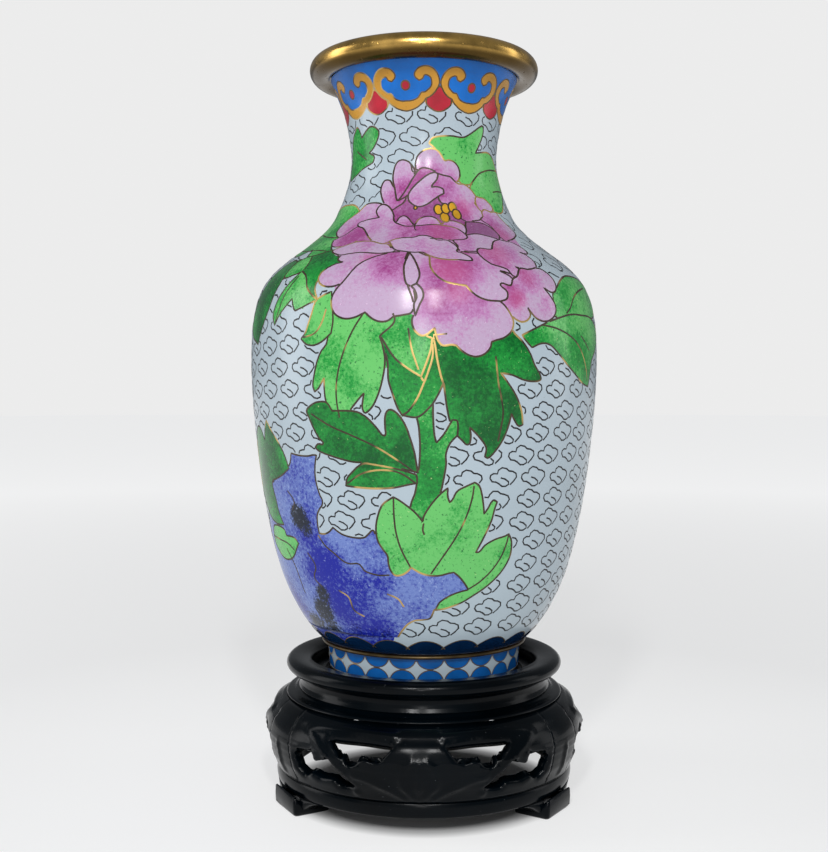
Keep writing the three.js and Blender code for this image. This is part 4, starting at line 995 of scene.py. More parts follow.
class Sheet:
    """Points and edges of the chart between two azimuths and two heights, made into triangles."""

    def __init__(self, low_turn, high_turn, low, high):
        self.low = np.array([low_turn, low])
        self.high = np.array([high_turn, high])
        self.points = []
        self.edges = []

    def line(self, curve):
        """Adds a closed line that the triangles follow."""
        start = len(self.points)
        count = len(curve)
        self.points.extend(map(tuple, curve))
        self.edges.extend((start + i, start + (i + 1) % count) for i in range(count))

    def triangles(self):
        """The points, and faces that all turn the same way, without the ones of no area."""
        made = delaunay_2d_cdt([Vector(p) for p in self.points], self.edges, [], 0, 1e-4)
        places = np.array([tuple(v) for v in made[0]])
        faces = np.array([f for f in made[2] if len(f) == 3])
        a, b, c = (places[faces[:, k]] for k in range(3))
        area = (b[:, 0] - a[:, 0]) * (c[:, 1] - a[:, 1]) - (b[:, 1] - a[:, 1]) * (c[:, 0] - a[:, 0])
        centre = places[faces].mean(1)
        keep = ((centre > self.low) & (centre < self.high)).all(1) & (np.abs(area) > 1e-7)
        return places, np.where((area < 0)[:, None], faces[:, ::-1], faces)[keep]


def triangulate(low, high, shapes, across, up):
    """Triangles of the band between two heights that follow every outline of the shapes."""
    last = FIRST_TURN + 360
    sheet = Sheet(FIRST_TURN, last, low, high)
    turns = np.linspace(FIRST_TURN, last, int(360 / across) + 1)
    climb = np.linspace(low, high, max(3, int((high - low) / up)))
    sheet.line([(t, low) for t in turns] + [(last, z) for z in climb[1:-1]]
               + [(t, high) for t in turns[::-1]] + [(FIRST_TURN, z) for z in climb[-2:0:-1]])
    for shape in shapes:
        curve = shape.curve.copy()
        curve[:, 1] = np.clip(curve[:, 1], low, high)
        sheet.line(curve)
    inner = lattice(low + up * 0.6, high - up * 0.4, across, up)
    inner = inner[(inner[:, 0] > FIRST_TURN + 0.4 * across) & (inner[:, 0] < last - 0.4 * across)]
    sheet.points.extend(map(tuple, inner))
    return sheet.triangles()


SLIVER = 0.38
COVERED = 0.42


def owners(centres, shapes, wall):
    """The topmost shape at each place, or -1; a sliver between two outlines goes to the upper one."""
    owner = np.full(len(centres), -1)
    for index, shape in enumerate(shapes):
        owner[inside(centres, shape.curve)] = index
    bare = np.nonzero(owner < 0)[0]
    near = np.zeros(len(bare), dtype=int)
    top = np.full(len(bare), -1)
    for index, shape in enumerate(shapes):
        low, high = shape.curve.min(0) - 1.2, shape.curve.max(0) + 1.2
        spot = centres[bare]
        close = np.nonzero(((spot > low) & (spot < high)).all(1))[0]
        if len(close):
            scale = DEG * wall.radius(shape.curve[:, 1]).mean()
            gap = distance_to(spot[close] * [scale, 1], shape.curve * [scale, 1])
            hit = close[gap < SLIVER]
            near[hit] += 1
            top[hit] = index
    sliver = near > 1
    owner[bare[sliver]] = top[sliver]
    return owner


def enamel_cells(label, wall, low, high, shapes, stands_for, across=1.6, up=1.5):
    """The enamel of a band, one piece for each colour family.

    A face lies at radius(z) of the wall at azimuth a: (r sin a, -r cos a, z), with the wall's
    own normal at every corner, so the cells are flush and shine as one polished surface.
    """
    places, faces = triangulate(low, high, shapes, across, up)
    owner = owners(places[faces].mean(1), shapes, wall)
    kinds = ["ground"] + [shape.kind for shape in shapes]
    kind_of = np.array(kinds)[owner + 1]
    for kind in dict.fromkeys(kinds):
        chosen = kind_of == kind
        if not chosen.any():
            continue
        corners = faces[chosen].ravel()
        key = corners.astype(np.int64) * 1000 + np.repeat(owner[chosen] + 1, 3)
        unique, first, back = np.unique(key, return_index=True, return_inverse=True)
        spot = places[corners[first]]
        index = unique % 1000 - 1
        depth, rose, dark = np.zeros((3, len(spot)))
        for number in np.unique(index[index >= 0]):
            shape = shapes[number]
            mine = index == number
            turn, z = spot[mine, 0], spot[mine, 1]
            deep = fall(turn, z, shape.deep, wall)
            depth[mine] = shape.base + deep * (1 - shape.base)
            rose[mine] = fall(turn, z, shape.rose, wall)
            dark[mine] = fall(turn, z, shape.dark, wall)
        points = wall.place(spot[:, 0], spot[:, 1]) * MM
        normals = wall.normal(spot[:, 0], spot[:, 1])[back.ravel()]
        piece = make_piece(f"{label}_{kind}_cells", points, back.reshape(-1, 3), kind, "vase",
                           normals, dict(depth=depth, rose=rose, dark=dark))
    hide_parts(*stands_for)


class Ribbons:
    """Gathers wires laid on a wall: each is a low ridge along a line of chart points."""

    def __init__(self, wall):
        self.wall = wall
        self.points = []
        self.faces = []
        self.count = 0

    def lay(self, line, width, height, closed=False):
        """Adds one wire: at each point k the three places P - w/2 S, P + h N and P + w/2 S,

        where N is the wall's normal and S the direction across the wire.
        """
        line = np.asarray(line, dtype=float)
        if len(line) < 2:
            return
        base = self.wall.place(line[:, 0], line[:, 1])
        normal = self.wall.normal(line[:, 0], line[:, 1])
        if closed:
            along = np.roll(base, -1, axis=0) - np.roll(base, 1, axis=0)
        else:
            along = np.gradient(base, axis=0)
        across = np.cross(normal, along)
        across /= np.maximum(np.linalg.norm(across, axis=1, keepdims=True), 1e-9)
        sink = 0.05
        rows = np.stack([base - across * width / 2 - normal * sink, base + normal * height,
                         base + across * width / 2 - normal * sink], 1)
        self.points.append(rows.reshape(-1, 3))
        self.faces.append(grid_faces(len(line), 3, closed)[:, ::-1] + self.count)
        self.count += 3 * len(line)

    def finish(self, name, material):
        make_piece(name, np.vstack(self.points) * MM, np.vstack(self.faces), material, "vase")


def visible_runs(curve, later, closed=True):
    """The parts of a line that no later shape covers or nearly touches."""
    hidden = np.zeros(len(curve), dtype=bool)
    for shape in later:
        low, high = shape.curve.min(0) - 1, shape.curve.max(0) + 1
        if (curve.max(0) < low).any() or (curve.min(0) > high).any():
            continue
        hidden |= inside(curve, shape.curve)
        hidden |= distance_to(curve, shape.curve) < COVERED
    if not hidden.any():
        return [(curve, closed)]
    if closed:
        shift = int(np.nonzero(hidden)[0][0])
        curve = np.roll(curve, -shift, axis=0)
        hidden = np.roll(hidden, -shift)
        curve = np.vstack([curve, curve[:1]])
        hidden = np.append(hidden, True)
    runs = []
    start = None
    for i, gone in enumerate(hidden):
        if not gone and start is None:
            start = i
        if (gone or i == len(hidden) - 1) and start is not None:
            runs.append((curve[max(start - 1, 0):i + 1], False))
            start = None
    return runs


def picture_wires(wall, shapes, veins, low, high):
    """Wires along every visible outline and vein of the picture."""
    wires = Ribbons(wall)
    width, height = sizes().wire_width, sizes().wire_height
    edge = np.array([(-100, low - 9), (270, low - 9), (270, low), (-100, low)], dtype=float)
    below = Shape("ground", None, curve=edge)
    for index, shape in enumerate(shapes):
        if shape.wire is None:
            continue
        curve = np.stack([shape.curve[:, 0], np.clip(shape.curve[:, 1], low, high)], -1)
        for run, closed in visible_runs(curve, shapes[index + 1:] + [below]):
            if len(run) > 2 and run[:, 1].max() > low + 0.3:
                wires.lay(run, width, height, closed)
    last_petals = [shape for shape in shapes if shape.kind == "petal"]
    for kind, line in veins:
        cover = [] if kind == "petal" else last_petals
        for run, _ in visible_runs(line, cover, False):
            wires.lay(run, width * 0.9, height)
    wires.finish("picture_wires", "picture_wire")


class Room:
    """A map of where the ground is still free, in cells a quarter of a degree by a quarter mm."""

    step = 0.25

    def __init__(self, low, high, shapes):
        self.low = low
        turn = np.arange(FIRST_TURN, FIRST_TURN + 360, self.step)
        z = np.arange(low, high, self.step)
        grid = np.stack(np.meshgrid(turn, z, indexing="ij"), -1)
        self.shape = grid.shape[:2]
        flat = grid.reshape(-1, 2)
        taken = np.zeros(len(flat), dtype=bool)
        for shape in shapes:
            taken |= inside(flat, shape.curve)
        self.taken = taken.reshape(self.shape)
        for _ in range(2):
            t = self.taken.copy()
            t |= np.roll(self.taken, 1, 0) | np.roll(self.taken, -1, 0)
            t[:, 1:] |= self.taken[:, :-1]
            t[:, :-1] |= self.taken[:, 1:]
            self.taken = t

    def runs(self, line):
        """The stretches of a line that lie on free ground."""
        i = ((line[:, 0] - FIRST_TURN) / self.step).round().astype(int) % self.shape[0]
        j = ((line[:, 1] - self.low) / self.step).round().astype(int)
        fits = (j >= 0) & (j < self.shape[1])
        fits[fits] = ~self.taken[i[fits], j[fits]]
        if fits.all():
            return [line[::CLOUD_SHARE]]
        edges = np.flatnonzero(np.diff(np.concatenate([[0], fits.astype(int), [0]])))
        found = []
        for start, stop in zip(edges[::2], edges[1::2]):
            if stop - start > 2 * CLOUD_SHARE:
                picks = list(range(start, stop - 1, CLOUD_SHARE)) + [stop - 1]
                found.append(line[picks])
        return found


def cloud_line(wall, turn, z, scale, curve):
    """A cloud's outline round a place, as chart points."""
    stretch = 1.12
    return np.stack([turn + curve[:, 0] * scale / (DEG * wall.radius(z)),
                     z + stretch * curve[:, 1] * scale], -1)


def cloud_wires(wall, low, high, shapes):
    """Rows of little cloud scrolls, each cut off where it runs under the picture."""
    room = Room(low, high, shapes)
    wires = Ribbons(wall)
    curve = through(CLOUD, False, CLOUD_SHARE)
    pitch, rise = sizes().cloud_pitch, sizes().cloud_rise
    hand = np.random.default_rng(7)
    for number, z in enumerate(np.arange(low + 3.2, high, rise)):
        count = max(12, int(round(2 * math.pi * wall.radius(z) / pitch)))
        for k in range(count):
            turn = FIRST_TURN + 360 * (k + 0.5 * (number % 2) + hand.uniform(-0.05, 0.05)) / count
            size = 0.93 + hand.uniform(-0.05, 0.05)
            line = cloud_line(wall, turn, z + hand.uniform(-0.25, 0.25), size, curve)
            for run in room.runs(line):
                wires.lay(run, sizes().cloud_wire_width, sizes().wire_height * 0.7)
    wires.finish("cloud_wires", "cloud_wire")


# ------------------------------------------------------------------ the bands

def red_dot(wall, turn, z, radius):
    """A round red area: (turn + r cos t / (radius of the wall), z + r sin t)."""
    t = np.arange(28) * 2 * np.pi / 28
    scale = DEG * float(wall.radius(z))
    curve = np.stack([turn + radius * np.cos(t) / scale, z + radius * np.sin(t)], -1)
    return Shape("drop", None, 0.5, curve=curve)


RUYI_OUTER = [(8.9, 230.2), (6.1, 231.6), (7.3, 233), (9.8, 233.9), (13.4, 234.2), (17, 233.7),
              (19.8, 232.5), (21.6, 230.9), (22, 229.4), (20.9, 228), (18.8, 226.6), (15.9, 225.5),
              (13.4, 225), (12.3, 224.2), (9.8, 223.2), (7, 222.3), (2.7, 221.6), (0, 221.4)]
RUYI_INNER = [(9.1, 230.2), (11.3, 230.7), (12.3, 231.6), (14.1, 231.6), (16.3, 230.9), (17, 229.6),
              (16.6, 228.5), (14.8, 227.6), (12.7, 226.9), (10.6, 226.8), (9.5, 226.2), (8.1, 225.3),
              (5.6, 224.7), (2.7, 224.4), (0, 224.4)]


def around(shapes):
    """Copies of shapes a full turn to each side where they reach into the chart."""
    found = []
    for shape in shapes:
        for turn in (-360, 0, 360):
            curve = shape.curve + [turn, 0]
            if curve[:, 0].max() > FIRST_TURN and curve[:, 0].min() < FIRST_TURN + 360:
                found.append(Shape(shape.kind, None, shape.base, wire=shape.wire, curve=curve))
    return found


def collar_shapes(wall):
    """Eight ruyi heads, the blue above them and a red drop between each pair.

    A head's outline runs from its left curl down the outer edge, across its foot and back up to
    the right curl, then returns along the inner edge.
    """
    period = 360 / sizes().ruyi_heads
    first = -12.5
    reds, yellows, dots = [], [], []
    right = np.vstack([through(RUYI_INNER, False, 3)[::-1], through(RUYI_OUTER, False, 3)])
    left = right[::-1] * [-1, 1]
    head = np.vstack([right[:-1], left[:-1]])
    drop = through([(-8.8, 224.2), (-5, 226.4), (0, 228.6, 1), (5, 226.4), (8.8, 224.2), (5.6, 222.1),
                    (0, 221.2), (-5.6, 222.1)])
    for k in range(sizes().ruyi_heads):
        middle = first + period * k
        yellows.append(Shape("ruyi", None, 0.5, curve=head + [middle, 0]))
        dots.append(red_dot(wall, middle, 228.9, 1.35))
        reds.append(Shape("drop", None, 0.5, curve=drop + [middle + period / 2, 0]))
    field = Shape("collar", None, 0.5, curve=collar_field(first, period, wall.z[-1]))
    return field, reds, yellows, dots


def collar_field(first, period, top):
    """The blue field: down to the heads' shoulders, and to the drops between them."""
    turn = np.linspace(FIRST_TURN + 0.02, FIRST_TURN + 359.98, 481)
    phase = np.abs((turn - first + period / 2) % period - period / 2)
    floor = np.interp(phase, [0, 2.7, 7, 12.3, 14.3, 19, period / 2],
                      [222.6, 222.8, 223.2, 225.0, 226.2, 226.8, 226.4])
    line = np.stack([turn, floor], -1)
    cap = np.stack([turn[::-1], np.full(len(turn), top - 0.02)], -1)
    return np.vstack([line, cap])


SCALLOP_TURN = 0.4


def scallop_lines():
    """The arcs of the scallops, as chart lines; each overlaps its neighbours a little."""
    count = sizes().scallops
    period = 360 / count
    t = np.linspace(0, 1, 13)
    across = period * 0.55 * (2 * t - 1)
    rise = 54.2 + 3.1 * np.sin(np.pi * t) ** 0.8
    return [np.stack([SCALLOP_TURN + period * k + across, rise], -1) for k in range(count)]


def scallop_shape(low):
    """The dark blue below the scallops' arcs, all round."""
    period = 360 / sizes().scallops
    turn = np.linspace(FIRST_TURN + 0.02, FIRST_TURN + 359.98, 421)
    phase = ((turn - SCALLOP_TURN + period / 2) % period) / period
    crest = 54.7 + 2.6 * np.sin(np.pi * phase) ** 0.8
    line = np.stack([turn, np.full(len(turn), low + 0.02)], -1)
    cap = np.stack([turn[::-1], crest[::-1]], -1)
    return Shape("scallop", None, 0.6, curve=np.vstack([line, cap]))


def foot_shapes(wall, low, high):
    """Half discs that hang from the top of the foot band and stand on its bottom."""
    count = sizes().foot_discs
    period = 360 / count
    shapes = []
    t = np.linspace(0, 1, 15) * np.pi
    wide = 4.2 / (DEG * float(wall.radius((low + high) / 2)))
    for k in range(count):
        middle = 3.2 + period * k
        upper = np.stack([middle + wide * np.cos(t), high - 0.04 - 3.4 * np.sin(t)], -1)
        lower = np.stack([middle + wide * np.cos(t), low + 0.04 + 3.95 * np.sin(t)], -1)
        shapes += [Shape("foot", None, 0.5, curve=upper), Shape("foot", None, 0.5, curve=lower)]
    return shapes


def band_wires(name, wall, lines, width=0.8):
    """The gilt wires of a band, one for each (line, closed)."""
    wires = Ribbons(wall)
    for line, closed in lines:
        wires.lay(line, width, sizes().wire_height, closed)
    wires.finish(name, "band_wire")


# ------------------------------------------------------------------ rim, foot and linings

def rim_outline():
    """The rolled rim: a circle of its own height, with a skirt inside that sits on the neck's lip."""
    node = "gilt_mouth_rim"
    low, high = (corner.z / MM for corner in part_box(node))
    tube = (high - low) / 2
    middle_r, middle_z = outer_reach(node) - tube, (low + high) / 2
    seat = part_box("copper_neck")[1].z / MM + 0.12
    t = np.radians(np.linspace(-138, 150, 34))
    roll = np.stack([middle_r + tube * np.cos(t), middle_z + tube * np.sin(t)], -1)
    s = np.linspace(0, 1, 9)[1:, None]
    inner = inner_reach(node)
    corner, foot = np.array([inner + 0.3, seat + 3.0]), np.array([inner, seat + 0.3])
    skirt = (1 - s) ** 2 * roll[-1] + 2 * s * (1 - s) * corner + s ** 2 * foot
    return np.vstack([roll, skirt, [(inner + 0.3, seat), (roll[0, 0] - 0.25, seat)]])


def outer_reach(node):
    """The largest radius of a turned node, in mm."""
    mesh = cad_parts[node].data
    return max(math.hypot(v.co.x, v.co.y) for v in mesh.vertices) / MM


def rim_wobble(a, z):
    """How far hand rolling moves the rim outwards at azimuth a."""
    return 0.05 * np.sin(3 * a + 0.6) + 0.03 * np.sin(7 * a + 2)


def lining_ripple(a, z):
    """Waves of the counter enamel at azimuth a and height z."""
    return 0.06 * np.sin(5 * a + z / 9) * np.sin(z / 7)


def build_rim():
    piece = revolved("rolled_rim", rim_outline(), "gilt", "vase", 220, rim_wobble)
    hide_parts("gilt_mouth_rim")


def build_foot_metal():
    low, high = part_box("gilt_foot_edge")
    z0, z1 = low.z / MM, high.z / MM
    reach = outer_reach("gilt_foot_edge")
    edge = rounded([(reach - 3.6, z0), (reach, z0), (reach + 0.05, z1), (reach - 3.6, z1)], 0.6)
    piece = revolved("foot_edge_band", edge, "gilt", "vase", 200)
    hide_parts("gilt_foot_edge")
    low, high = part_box("gilt_foot_wire")
    z0, z1 = low.z / MM, high.z / MM
    reach = outer_reach("gilt_foot_wire")
    half = (z1 - z0) / 2
    bead = arc((reach - half, (z0 + z1) / 2), half, -90, 90, 9) + [(reach - 4.2, z1), (reach - 4.2, z0)]
    piece = revolved("foot_wire_bead", bead, "foot_wire", "vase", 200)
    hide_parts("gilt_foot_wire")


def build_linings():
    """The counter enamel inside the vase: the wall moved in along its normal, and a floor."""
    wall = Wall()
    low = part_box("counter_enamel_lining")[0].z / MM
    z = np.interp(np.linspace(0, 1, 60), [0, 1], [low + 3, wall.z[-1]])
    depth = sizes().lining_depth
    nr, nz = np.interp(z, wall.z, wall.nr), np.interp(z, wall.z, wall.nz)
    r, h = wall.radius(z) - depth * nr, z - depth * nz
    r2, h2 = r + sizes().lining_thickness * nr, h + sizes().lining_thickness * nz
    top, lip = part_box("copper_neck")[1].z / MM + 0.08, wall.radius(wall.z[-1]) - 0.2
    h, h2 = np.minimum(h, top - 0.05), np.minimum(h2, top - 0.4)
    edge = [(r[-1] + 0.05, top), (lip, top), (lip, top - 0.35)]
    inner = [(0.4, low + 0.5), (r[0] * 0.6, low + 0.5), (r[0] * 0.93, low + 1.0)] + list(zip(r, h))
    outer = list(zip(r2[::-1], h2[::-1])) + [(r2[0] * 0.6, low), (0.4, low)]
    keep = inner[:3] + [p for p in inner[3:] if p[1] > low + 1.2]
    rest = [p for p in outer[:-2] if p[1] > low + 0.8] + outer[-2:]
    piece = revolved("inside_lining", keep + edge + rest, "lining", "vase", 160,
                     lining_ripple)
    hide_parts("counter_enamel_lining")


def build_cores():
    """CAD parts that stay: they take procedural finishes of their own."""
    for node, material in (("copper_body_lower", "copper"), ("copper_body_upper", "copper"),
                           ("copper_neck", "copper"), ("copper_foot_ring", "copper"),
                           ("counter_enamel_base", "lining")):
        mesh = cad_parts[node].data
        mesh.materials.clear()
        mesh.materials.append(finish(material))


# ------------------------------------------------------------------ enamel pieces

def build_picture():
    wall = Wall()
    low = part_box("enamel_body_ground")[0].z / MM + 0.2
    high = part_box("enamel_body_ground")[1].z / MM
    shapes, veins = picture()
    enamel_cells("picture", wall, low, high, shapes, ["enamel_body_ground"])
    picture_wires(wall, shapes, veins, low, high)
    _, reds, yellows, _ = collar_shapes(wall)
    cloud_wires(wall, low + 0.3, high + 5.0, shapes + around(reds + yellows))


def build_collar():
    wall = Wall()
    low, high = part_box("enamel_collar_band")[0].z / MM, wall.z[-1]
    field, reds, yellows, dots = collar_shapes(wall)
    enamel_cells("collar", wall, low, high, [field] + around(reds + yellows + dots),
                 ["enamel_collar_band"], 1.5, 1.2)
    lines = [run for shape in reds for run in visible_runs(shape.curve, yellows)]
    lines += [(shape.curve, True) for shape in yellows + dots]
    band_wires("collar_wires", wall, lines)


def rock_foot(low, high):
    """The rock's lower edge, which runs on down behind the scallops at the front and the back."""
    top, bottom = high - 0.02, low + 0.02
    front = np.array([(-92, top), (-92, bottom), (-17, bottom), (-13.5, top)], dtype=float)
    back = np.stack([180 - 0.86 * front[:, 0], front[:, 1]], -1)
    return [Shape("rock", None, 0.4, curve=curve) for curve in (front, back)]


def build_scallops():
    wall = Wall()
    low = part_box("enamel_scallop_band")[0].z / MM + 0.3
    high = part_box("enamel_body_ground")[0].z / MM + 0.2
    enamel_cells("scallops", wall, low, high, rock_foot(low, high) + [scallop_shape(low)],
                 ["enamel_scallop_band"], 1.6, 1.0)
    band_wires("scallop_wires", wall, [(line, False) for line in scallop_lines()], width=0.66)


def build_foot_band():
    wall = FootWall()
    low, high = wall.z[0], wall.z[-1]
    shapes = foot_shapes(wall, low, high)
    enamel_cells("foot", wall, low, high, around(shapes), ["enamel_foot_band"], 1.8, 1.0)
    band_wires("foot_wires", wall, [(shape.curve, True) for shape in shapes], width=0.56)


# ------------------------------------------------------------------ the carved stand

STAND_TURN = -2.0
SHELL_RADIUS = 48.0
SHELL_SCALE = np.array([DEG * SHELL_RADIUS, 1.0])


class Shell(Wall):
    """The outer face of the stand's bulging shell."""

    nodes = ("leg_1", "apron_panel_1")
    gap = 1.0


def mirrored(lines):
    """A set of chart lines and their mirror images."""
    return lines + [[(-p[0],) + tuple(p[1:]) for p in line] for line in lines]


UPPER_HOLE = [(9, 28.4, 1), (20, 28.9), (32.5, 28.4, 1), (30, 25.7), (27, 23.3), (24, 20.9, 1),
              (21, 22.6), (17.8, 24.3), (14.6, 23.1), (12.2, 24.6)]
LOWER_HOLE = [(49.5, 20.5), (49, 18), (48, 15.5), (46, 14.3), (44, 14.5), (41, 15.8), (38, 14.8),
              (33.5, 15), (31, 15), (29, 13.7), (25, 13.8), (22.5, 14.7, 1), (25, 16.5), (27, 18.3),
              (29, 19.3), (31.5, 21.5), (33, 22.3), (36, 21), (38, 20.5), (39, 21.5), (40, 24.3, 1),
              (42, 24), (46, 23.2)]
RIDGES = [
    [(0, 12.2), (0, 24)],
    [(2.2, 12.8), (5.6, 17), (5.2, 21.5), (2.2, 24.2)],
    [(5, 12.4), (11, 15.4), (17, 17.6), (22.6, 18.6)],
    [(22, 13), (26, 18), (31, 22.4), (37, 26.4), (43, 29.5)],
    [(8, 30.6), (20, 31.0), (34, 30.6), (43, 29.5)],
]


LEG_RIDGES = [[(0, 13), (0, 22)]]
PANEL_SPAN = 51.48
LEG_SPAN = 8.5


def relief(places, outlines, ridges):
    """Height of the carving: rounded edges at the holes and raised lines between them.

    With d the distance to the nearest edge and w the width of the round, the edge falls by
    0.8 w (1 - sqrt(1 - (1 - d/w)^2)); a line adds h exp(-(g/s)^2) at its distance g.
    """
    flat = places * SHELL_SCALE
    d = np.full(len(places), 99.0)
    for curve in outlines:
        d = np.minimum(d, distance_to(flat, curve * SHELL_SCALE))
    w = carving().edge_round
    share = np.clip(d / w, 0, 1)
    height = -0.8 * w * (1 - np.sqrt(np.maximum(1 - (1 - share) ** 2, 0)))
    lift = np.zeros(len(places))
    for line in ridges:
        g = distance_to(flat, through(line, False, 5) * SHELL_SCALE, False)
        lift = np.maximum(lift, np.exp(-(g / 0.95) ** 2))
    return height + 0.6 * lift * share


def beside(outline, gap):
    """Points outside a closed outline, each at a gap along its normal."""
    along = np.roll(outline, -1, axis=0) - np.roll(outline, 1, axis=0)
    normal = np.stack([along[:, 1], -along[:, 0]], -1)
    normal /= np.maximum(np.linalg.norm(normal, axis=1, keepdims=True), 1e-9)
    area = (outline[:, 0] * np.roll(outline[:, 1], -1) - np.roll(outline[:, 0], -1) * outline[:, 1]).sum()
    return outline + normal * (gap if area > 0 else -gap)


def panel_mesh(low_turn, high_turn, low, high, holes):
    """Points and faces of a pierced plate on the chart, with finer rows of points beside its holes."""
    sheet = Sheet(low_turn, high_turn, low, high)
    t = np.linspace(low_turn, high_turn, 90)
    z = np.linspace(low, high, 30)
    frame_line = np.vstack([np.stack([t, np.full(90, low)], -1)[:-1],
                            np.stack([np.full(30, high_turn), z], -1)[:-1],
                            np.stack([t[::-1], np.full(90, high)], -1)[:-1],
                            np.stack([np.full(30, low_turn), z[::-1]], -1)[:-1]])
    for outline in [frame_line, *holes]:
        sheet.line(outline)
    step = carving().carve_step
    loose = []
    for number, height in enumerate(np.arange(low + step, high - step / 2, step)):
        turns = np.arange(low_turn + 0.8, high_turn - 0.5, step * 1.25) + (number % 2) * 0.4
        loose.extend((a, height) for a in turns)
    loose = np.array(loose)
    for hole in holes:
        loose = loose[distance_to(loose * SHELL_SCALE, hole * SHELL_SCALE) > 1.3]
    sheet.points.extend(map(tuple, loose))
    for hole in holes:
        for gap in (0.2, 0.55, 1.0):
            ring = beside(hole * SHELL_SCALE, gap)
            clear = np.ones(len(ring), dtype=bool)
            for other in holes:
                clear &= distance_to(ring, other * SHELL_SCALE) > gap * 0.93
            clear &= (ring[:, 1] > low + 0.3) & (ring[:, 1] < high - 0.3)
            sheet.points.extend(map(tuple, ring[clear] / SHELL_SCALE))
    places, faces = sheet.triangles()
    centre = places[faces].mean(1)
    for hole in holes:
        pierced = inside(centre, hole)
        faces, centre = faces[~pierced], centre[~pierced]
    used, back = np.unique(faces, return_inverse=True)
    return places[used], back.reshape(-1, 3)


def plate(name, azimuth, span, holes, ridges, nodes):
    """A carved plate of the stand's shell round an azimuth."""
    wall = Shell()
    low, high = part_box(nodes[0])[0].z / MM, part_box(nodes[0])[1].z / MM
    places, faces = panel_mesh(-span, span, low, high, holes)
    height = relief(places, holes, ridges)
    front = wall.place(places[:, 0] + azimuth, places[:, 1], height)
    thick = carving().panel_thickness
    rear = wall.place(places[:, 0] + azimuth, places[:, 1], -thick)
    rear[:, 2] = np.clip(rear[:, 2], low, high)
    front[:, 2] = np.clip(front[:, 2], low, high)
    count = len(places)
    directed = np.vstack([faces[:, [0, 1]], faces[:, [1, 2]], faces[:, [2, 0]]])
    key = directed[:, 0].astype(np.int64) * count + directed[:, 1]
    opposite = directed[:, 1].astype(np.int64) * count + directed[:, 0]
    rim = directed[~np.isin(key, opposite)]
    sides = np.stack([rim[:, 1], rim[:, 0], rim[:, 0] + count, rim[:, 1] + count], -1)
    everything = [tuple(f) for f in faces] + [tuple(f) for f in faces[:, ::-1] + count]
    everything += [tuple(f) for f in sides]
    piece = make_piece(name, np.vstack([front, rear]) * MM, everything, "lacquer", "stand")
    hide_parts(*nodes)


def build_panels():
    holes = [through(h) for h in mirrored([UPPER_HOLE, LOWER_HOLE])]
    ridges = [RIDGES[0]] + mirrored(RIDGES[1:])
    for number in range(3):
        azimuth = STAND_TURN + 120 * number
        plate(f"carved_panel_{number + 1}", azimuth, PANEL_SPAN, holes, ridges,
              [f"apron_panel_{number + 1}"])


def build_legs():
    for number in range(3):
        azimuth = STAND_TURN + 60 + 120 * number
        plate(f"carved_leg_{number + 1}", azimuth, LEG_SPAN, [], LEG_RIDGES, [f"leg_{number + 1}"])


def ring_outline(node, inner, corner, bulge=0.0):
    """A ring's section from its node's box, corners rounded and the outer side bowed by bulge."""
    low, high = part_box(node)
    z0, z1 = low.z / MM, high.z / MM
    reach = outer_reach(node)
    side = [(reach - bulge * (2 * s - 1) ** 2, z0 + (z1 - z0) * s) for s in (0.0, 0.25, 0.5, 0.75, 1.0)]
    return rounded([(inner, z0)] + side + [(inner, z1)], corner, 4)


def build_rings():
    z0, z1 = (corner.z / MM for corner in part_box("stand_top_ring"))
    reach = outer_reach("stand_top_ring")
    half = (z1 - z0) / 2
    middle = (z0 + z1) / 2
    well = 37.3
    tube = [(reach - half * 1.15 + half * 1.15 * math.cos(a), middle + half * math.sin(a))
            for a in np.linspace(-math.pi / 2, math.pi / 2, 15)]
    piece = revolved("stand_top_bead", [(well, z0)] + tube + [(well + 1.3, z1 - 0.4), (well, z1 - 1.7)],
                     "lacquer", "stand", 200)
    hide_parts("stand_top_ring")
    for node, name, corner, bulge in (("stand_waist_ring", "stand_waist", 0.3, -1.0),
                                      ("stand_base_ring", "stand_base", 0.7, 0.5)):
        outline = ring_outline(node, inner_reach(node), corner, bulge)
        piece = revolved(name, outline, "lacquer", "stand", 200)
        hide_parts(node)
    low, high = (corner.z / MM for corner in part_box("stand_moulding_ring"))
    reach, inner = outer_reach("stand_moulding_ring"), inner_reach("stand_moulding_ring")
    step = [(inner, low), (reach + 0.9, low), (reach + 0.3, low + 0.8), (reach - 1.9, low + 1.2),
            (reach - 3.0, high), (inner, high)]
    piece = revolved("stand_moulding", rounded(step, 0.5), "lacquer", "stand", 200)
    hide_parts("stand_moulding_ring")
    seat = ring_outline("stand_seat_board", 0.4, 0.4)
    piece = revolved("stand_seat", seat, "lacquer", "stand", 160)
    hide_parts("stand_seat_board")


def inner_reach(node):
    """The smallest radius of a turned node, in mm."""
    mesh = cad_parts[node].data
    return min(math.hypot(v.co.x, v.co.y) for v in mesh.vertices) / MM


